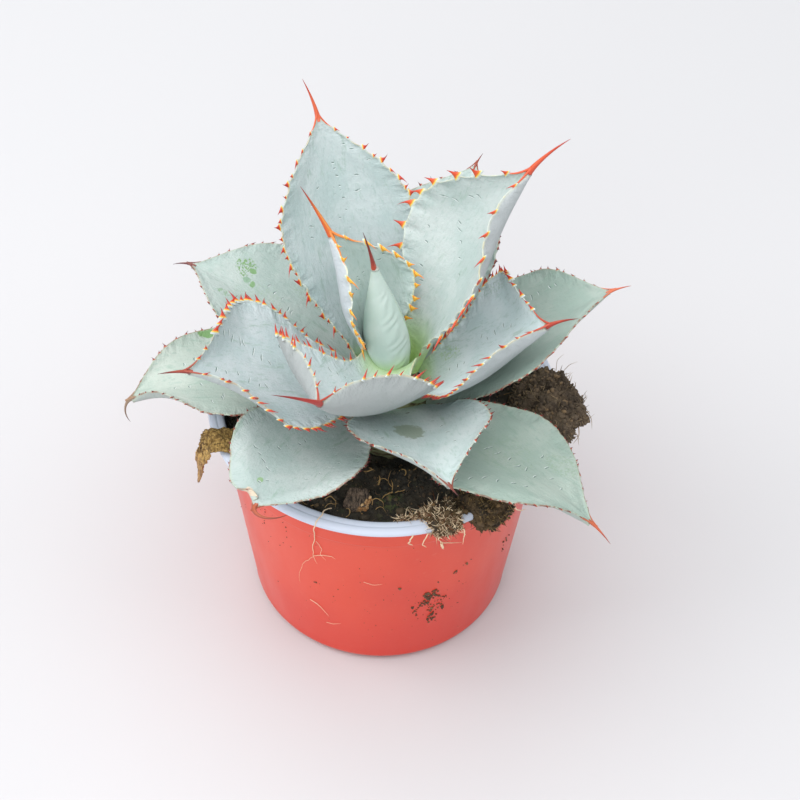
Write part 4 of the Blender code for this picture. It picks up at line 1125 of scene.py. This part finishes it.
def wall_path(route, random):
    """A smooth, slightly wandering path through (azimuth, height, how far it stands off the wall)."""
    route = np.array([(azimuth, z, *(away or [WALL_ROOT_OFF])) for azimuth, z, *away in route], float)
    along, fine = (np.linspace(0, 1, steps * len(route)) for steps in (1, 8))
    blur = np.array([1, 2, 3, 2, 1]) / 9
    azimuth, z, away = (np.convolve(np.pad(np.interp(fine, along, column), 2, "edge"), blur, "valid")
                        for column in route.T)
    azimuth = azimuth + 0.25 * np.convolve(random.normal(size=len(fine) + 4), blur, "valid")
    return polar(wall_radius(z) + away, np.radians(azimuth), z)


def soil_spot(random, count, inner, outer):
    """Places (x, y) scattered evenly over a ring round the pot's axis."""
    away = np.sqrt(random.uniform(inner**2, outer**2, count))
    return polar(away, np.radians(random.uniform(-180, 180, count)))[:, :2]


def soil_look(name, dark, light):
    look = Look(name, dark, 0.9)
    place = look.place()
    look.wash(light, look.noise(place, 0.16, 3.0), 0.4, 0.62, 0.5)
    look.wash(light, look.noise(place, 1.3, 4.0, 0.7), 0.5, 0.72)
    look.wash(blend(light, (150, 120, 84), 0.5), look.named("tone"), 0.75, 1.0)
    look.relief(look.noise(place, 2.2, 5.0, 0.7), 0.5, 0.9)
    return look


def earth_look():
    """The filling's soil, with a little green algae at one spot and elsewhere."""
    look = soil_look("soil_earth", (44, 42, 38), (82, 73, 59))
    place = look.place()
    away = look.length(look.vector("SUBTRACT", place, ALGAE))
    grown = look.between(look.noise(place, 0.7, 4.0, 0.7), 0.45, 0.62)
    spot = look.times(look.between(away, 5.0, 1.5), grown)
    moss = look.times(look.between(look.noise(place, 0.09, 3.0), 0.55, 0.7), grown)
    look.paint((84, 96, 50), look.math("MAXIMUM", spot, look.times(moss, 0.4)))
    return look


def fibre_look(name, dark, light):
    look = Look(name, light, 0.7, dark)
    varied = look.math("SUBTRACT", look.noise(look.place(), 0.8), 0.5)
    look.wash(light, look.math("ADD", look.named("tone"), varied), 0.1, 0.9)
    look.relief(look.noise(look.place(), 4.0), 0.06, 0.5)
    return look


def make_soil():
    """The filling with its crumbly top, loose grains and short roots."""
    random = np.random.default_rng(SEEDS["soil"])
    shape, litter = Shape(), Shape()
    edge = RIM_RADIUS - RIM_WIDTH - 0.4 - GAP
    hole = STEM_TOP_R + len(LEAVES) * LEVEL_OUT + GAP
    way = polar(1, circle(SOIL_SEGMENTS))[:, :2]
    share = np.linspace(0, 1, SOIL_ROWS)[:, None, None]
    spots = edge * way * (1 - share) + (STEM_AXIS[:2] + hole * way) * share
    height = soil_top(spots.reshape(-1, 2)).reshape(SOIL_ROWS, SOIL_SEGMENTS)
    top = np.concatenate([spots, height[..., None]], 2)
    foot = np.concatenate([spots[-1:], np.full((1, SOIL_SEGMENTS, 1), STEM_FOOT_Z - GAP)], 2)
    points = np.concatenate([turned(pot_inside(GAP)[::-1], SOIL_SEGMENTS), top, foot])
    faces = tube_faces(len(points), SOIL_SEGMENTS, True)
    shape.add(points, faces, 0, tone=np.full(len(points) * SOIL_SEGMENTS, 0.4))
    spots = soil_spot(random, SOIL_GRAINS, 17, edge - 0.6)
    sizes = random.lognormal(-0.2, 0.5, len(spots))
    crumbs(shape, np.column_stack([spots, soil_top(spots) + 0.1 * sizes]), sizes, random)
    shape.make("soil_surface", [earth_look()], "soil", ["soil"])
    for spot in soil_spot(random, SOIL_ROOTS, 20, edge - 1.5):
        start = (*spot, float(soil_top(spot[None])[0]) + 0.25)
        way = (*random.normal(size=2), random.uniform(-0.05, 0.35))
        path = strand(random, start, way, random.uniform(2, 7), 0.9, 9)
        path[:, 2] = np.maximum(path[:, 2], soil_top(path[:, :2]) + 0.05)
        tube(litter, path, random.uniform(0.08, 0.2), 0, 5, random.uniform(0, 1))
    for radius, *corners in SOIL_STRANDS:
        path = rounded_path(corners)
        path[:, 2] += soil_top(path[:, :2])
        tube(litter, path, 0.75 * radius, 0, 6, 0.85)
    spots = soil_spot(random, SOIL_SPLINTERS, 18, edge - 1.0)
    sizes = random.uniform(0.25, 0.7, len(spots))
    crumbs(litter, np.column_stack([spots, soil_top(spots) + 0.2]), sizes, random)
    litter.make("soil_fibres", [fibre_look("dry_fibre", (84, 62, 40), (190, 154, 100))], "fibre")


def roughened(frame, node, voxel, depth, scale, seed):
    """Points, faces and normals of a CAD node's solid, remeshed finely and roughened along its normals."""
    piece = put("work", frame["nodes"][node].data.copy())
    fine = piece.modifiers.new("fine", "REMESH")
    fine.mode = "VOXEL"
    fine.voxel_size = voxel * MM
    keep_modified(piece)
    mesh = piece.data
    points = np.array([vertex.co for vertex in mesh.vertices]) / MM
    normals = np.array([vertex.normal for vertex in mesh.vertices])
    faces = [tuple(face.vertices) for face in mesh.polygons]
    bpy.data.objects.remove(piece)
    lumps = rough(points, scale, 4, seed) + 0.5 * rough(points, scale / 4, 3, seed + 1)
    return points + normals * (depth * lumps)[:, None], faces, normals


def azimuths(points):
    return np.degrees(np.arctan2(points[:, 1], points[:, 0]))


def draw_to_rim(points):
    """Draws the front clump up and in where it passes the rim, and leaves the rim bare in two places."""
    azimuth = azimuths(points)
    left = np.interp(azimuth, *BARE_LEFT)
    gap = np.interp(azimuth, *BARE_GAP)
    bare = np.maximum(left, gap)
    kept = np.where(left > gap, RIM_RADIUS - RIM_WIDTH - 0.8, RIM_RADIUS - 0.55 * RIM_WIDTH)
    share = np.interp(azimuth, *DRAWN_IN)
    radius = np.hypot(points[:, 0], points[:, 1])
    past = 0.65 * share * np.maximum(radius - RIM_RADIUS, 0)
    past = np.maximum(past, 0.95 * bare * np.maximum(radius - kept, 0))
    points[:, :2] *= (1 - past / radius)[:, None]
    points[:, 2] += 0.75 * share * np.maximum(HANG_FROM - points[:, 2], 0)
    points[:, 2] -= 0.6 * bare * np.maximum(points[:, 2] - HANG_FROM, 0)


def clump(frame, node, seed, depth, grains, shaped=None):
    """Shape, points and normals of a crumbly body in place of a CAD node, with loose grains on it."""
    random = np.random.default_rng(seed)
    points, faces, normals = roughened(frame, node, CLUMP_VOXEL, depth, CLUMP_LUMP, seed)
    if shaped:
        shaped(points)
    shape = Shape()
    shape.add(points, faces, 0, tone=np.full(len(points), 0.4))
    chosen = random.integers(0, len(points), grains)
    sizes = random.lognormal(-0.1, 0.4, grains)
    crumbs(shape, points[chosen] + normals[chosen] * 0.2, sizes, random, 0, 1.0)
    return shape, points, normals, random


def make_peat_lumps(frame):
    """The crumbly peat that hangs over the rim on the right, with thin roots on it and a lump under it."""
    shape, points, normals, random = clump(frame, "peat_clump", SEEDS["peat"], 1.0, PEAT_GRAINS)
    chosen = random.integers(0, len(points), PEAT_FIBRES)
    ways = normals[chosen] + random.normal(size=(PEAT_FIBRES, 3)) * 1.2
    fibres(shape, random, points[chosen], ways, (0.8, 3.2), (0.05, 0.11), 1, 0.5)
    for radius, *path in PEAT_ROOTS:
        tube(shape, rounded_path(path), radius, 1, 6, 0.7)
    looks = [soil_look("peat_earth", (74, 62, 50), (128, 110, 88)),
             fibre_look("peat_fibre", (92, 76, 56), (158, 136, 104))]
    shape.make("peat_lumps", looks, "peat", ["peat_clump"])


def make_fibre_lumps(frame):
    """Tan roots on the front clump's left, brown moss on its right, and roots that hang down the wall."""
    shape, points, normals, random = clump(
        frame, "fibre_clump", SEEDS["front"], 1.3, FRONT_GRAINS, draw_to_rim)
    azimuth = azimuths(points)
    for count, first, last, length, radius, look in FRONT_FIBRES:
        near = np.flatnonzero((azimuth > first) & (azimuth < last))
        chosen = near[random.integers(0, len(near), count)]
        ways = 0.6 * normals[chosen] + random.normal(size=(count, 3))
        fibres(shape, random, points[chosen], ways, length, radius, look, 0.35)
    for radius, *route in HANGING_ROOTS:
        tube(shape, wall_path(route, random), radius, 1, 6, random.uniform(0.5, 1))
    looks = [soil_look("moss_earth", (54, 44, 32), (118, 94, 60)),
             fibre_look("root_fibre", (112, 68, 36), (255, 232, 194)),
             fibre_look("moss_fibre", (56, 46, 30), (164, 136, 86))]
    shape.make("fibre_lumps", looks, "fibre", ["fibre_clump"])


def make_wall_roots():
    """The pale root that hangs over the front of the rim, its curly side roots, and loose hairs below."""
    random = np.random.default_rng(SEEDS["roots"])
    shape = Shape()
    for radius, *route in WALL_ROOTS:
        tube(shape, wall_path(route, random), radius, 0, 6, random.uniform(0.6, 1))
    shape.make("wall_roots", [fibre_look("pale_root", (214, 168, 128), (240, 212, 178))], "fibre")


def make_wall_dirt():
    """Crumbs of soil that stick to the wall, thickest in one smear."""
    random = np.random.default_rng(SEEDS["dirt"])
    shape = Shape()
    for azimuth, z, spread, count, size in WALL_DIRT:
        turns = np.radians(azimuth + random.normal(size=count) * spread / MM_PER_DEGREE)
        heights = np.clip(z + random.normal(size=count) * spread, 6, STEP_Z - 2)
        sizes = size * random.lognormal(0, 0.35, count)
        crumbs(shape, polar(wall_radius(heights) + 0.12 * sizes, turns, heights), sizes, random, 0, 1.0)
    shape.make("wall_dirt", [soil_look("wall_earth", (84, 62, 48), (128, 100, 76))], "soil")


def dead_look():
    look = Look("dead_leaf_skin", (150, 116, 70), 0.75, (92, 64, 34))
    place = look.place()
    veins = look.noise(look.place(1.2, 1.2, 0.25), 0.9, 4.0, 0.7)
    look.wash((220, 180, 108), veins, 0.38, 0.62)
    look.wash((88, 66, 40), look.noise(place, 0.6, 3.0), 0.58, 0.7, 0.8)
    height = look.node("SeparateXYZ", {0: place}, 2)
    look.wash((196, 150, 116), height, 72.0, 66.0, 0.45)
    look.wash((146, 118, 50), height, 74.0, 79.0, 0.35)
    look.relief(veins, 1.6)
    return look


def make_dead_leaf():
    """A dry leaf, crumpled over the rim, with a thin tail that hangs down."""
    along, run = np.linspace(0, 1, DEAD_ROWS), np.array(DEAD_PATH)
    steps = np.concatenate([[0], np.cumsum(np.hypot(*np.diff(run, axis=0).T))])
    radius, height = (np.interp(along * steps[-1], steps, run[:, n])[:, None] for n in range(2))
    half, middle = (np.interp(along, *zip(*table))[:, None] for table in (DEAD_WIDTHS, DEAD_TURNS))
    a, c = np.meshgrid(along, np.linspace(-1, 1, DEAD_COLUMNS), indexing="ij")

    def noisy(points, *settings):
        return rough(np.stack(points, -1).reshape(-1, 3), *settings).reshape(a.shape)

    turn = np.radians(middle) + half * c / radius
    slope = np.arctan2(np.gradient(height, axis=0), np.gradient(radius, axis=0))[..., None]
    normal = polar(-1, turn) * np.sin(slope) + np.array([0, 0, 1]) * np.cos(slope)
    x, y = c * half, a * 30
    lumps = noisy((x, y, 0 * a), 5.0, 5, 31)
    creases = np.abs(noisy((1.6 * x, 0.5 * y, 0 * a), 2.2, 3, 32))
    ribs = np.sin(9 * c + 2.2 * lumps + 5 * a) * np.abs(noisy((x, y, 0 * a), 3.0, 2, 34) + 0.4)
    lift = 1.0 + 1.5 * lumps - 1.6 * creases + 0.5 * ribs + 1.1 * (1 - c**2) * np.minimum(half / 6, 1)
    lift = np.maximum(lift * np.minimum(half / 4, 1), 0) + 0.25
    ragged = 0.16 * noisy((a * 22, c * 2, 0 * a), 1.5, 4, 33)
    upper = polar(radius, turn, height) + normal * lift[..., None]
    upper = upper + leftwards(turn) * (x * ragged)[..., None]
    points = np.concatenate([upper, (upper - normal * DEAD_THICK)[:, ::-1]], 1)
    shape = Shape()
    shape.add(points, tube_faces(DEAD_ROWS, 2 * DEAD_COLUMNS))
    shape.make("dead_leaf_crumple", [dead_look()], "dry_leaf", ["dead_leaf"])


def bark_look():
    look = Look("bark_skin", (100, 88, 80), 0.85, (50, 42, 36))
    ridges = look.noise(look.place(2.2, 0.6, 2.2), 0.8, 4.0, 0.7)
    look.wash((134, 114, 96), ridges, 0.38, 0.66)
    look.paint((186, 142, 92), look.times(look.named("tone"), 0.8))
    look.relief(ridges, 0.7, 0.9)
    return look


def make_bark(frame):
    """The bark chip, broken on its lower right, where paler splinters show."""
    random = np.random.default_rng(SEEDS["bark"])
    points, faces, normals = roughened(frame, "bark_chip", BARK_VOXEL, BARK_DEPTH, BARK_LUMP, 9)
    flat = points - points.mean(0)
    out = 0.8 * flat[:, 0] - 0.75 * flat[:, 1]
    shape = Shape()
    shape.add(points, faces, 0, tone=smooth((out - 2.3) / 0.7) * (normals[:, 2] < 0.75))
    edge = np.flatnonzero(out > 2.6)
    chosen = edge[random.integers(0, len(edge), BARK_SPLINTERS)]
    crumbs(shape, points[chosen], random.uniform(0.4, 1.1, BARK_SPLINTERS), random, 1, 0.9)
    core = fibre_look("bark_core", (150, 104, 60), (226, 190, 140))
    shape.make("bark_chip_broken", [bark_look(), core], "bark", ["bark_chip"])


def make_floor():
    """A plain pale floor under the pot."""
    half = FLOOR_SIZE / 2
    shape = Shape()
    shape.add([(-half, -half, 0), (half, -half, 0), (half, half, 0), (-half, half, 0)], [(0, 1, 2, 3)])
    floor = put("floor", shape.mesh("floor"))
    floor.data.materials.append(Look("floor_paint", (206, 206, 208), 0.95).material)


def make_camera():
    """The photograph's view: from the front, looking down, with the small shift of its framing."""
    away = Vector((0, -math.cos(CAMERA_DOWN), math.sin(CAMERA_DOWN)))
    right = Vector((1, 0, 0))
    up = away.cross(right)
    turned_right = right * math.cos(CAMERA_ROLL) + up * math.sin(CAMERA_ROLL)
    turned_up = up * math.cos(CAMERA_ROLL) - right * math.sin(CAMERA_ROLL)
    data = bpy.data.cameras.new("camera")
    data.sensor_width = SENSOR_MM
    data.lens = CAMERA_AWAY / (MM_PER_PIXEL * MM) / IMAGE_PIXELS * SENSOR_MM
    data.shift_x = 0.5 - AXIS_PIXEL[0] / IMAGE_PIXELS
    data.shift_y = AXIS_PIXEL[1] / IMAGE_PIXELS - 0.5
    camera = put("camera", data)
    axes = Matrix((turned_right, turned_up, away)).transposed().to_4x4()
    camera.matrix_world = Matrix.Translation(CAMERA_TARGET + away * CAMERA_AWAY) @ axes
    bpy.context.scene.camera = camera


def make_lights():
    """Very soft light from every side, a little more from above on the left and from the front."""
    world = bpy.data.worlds.new("surround")
    world.use_nodes = True
    surround = world.node_tree.nodes["Background"]
    surround.inputs["Color"].default_value = SURROUND_COLOUR
    surround.inputs["Strength"].default_value = SURROUND_STRENGTH
    bpy.context.scene.world = world
    bpy.context.scene.view_settings.view_transform = "Standard"
    for name, place, size, power in LIGHTS:
        data = bpy.data.lights.new(name, "AREA")
        data.size = size
        data.energy = power
        light = put(name, data)
        light.location = place
        light.rotation_euler = (LIGHTS_AIM - Vector(place)).to_track_quat("-Z", "Y").to_euler()


def main():
    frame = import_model()
    make_camera()
    make_lights()
    make_floor()
    make_pot()
    make_soil()
    make_peat_lumps(frame)
    make_fibre_lumps(frame)
    make_wall_roots()
    make_wall_dirt()
    make_dead_leaf()
    make_bark(frame)
    frame["nodes"]["stem"].material_slots[0].material = stem_look().material
    make_bud()
    make_leaves()


main()
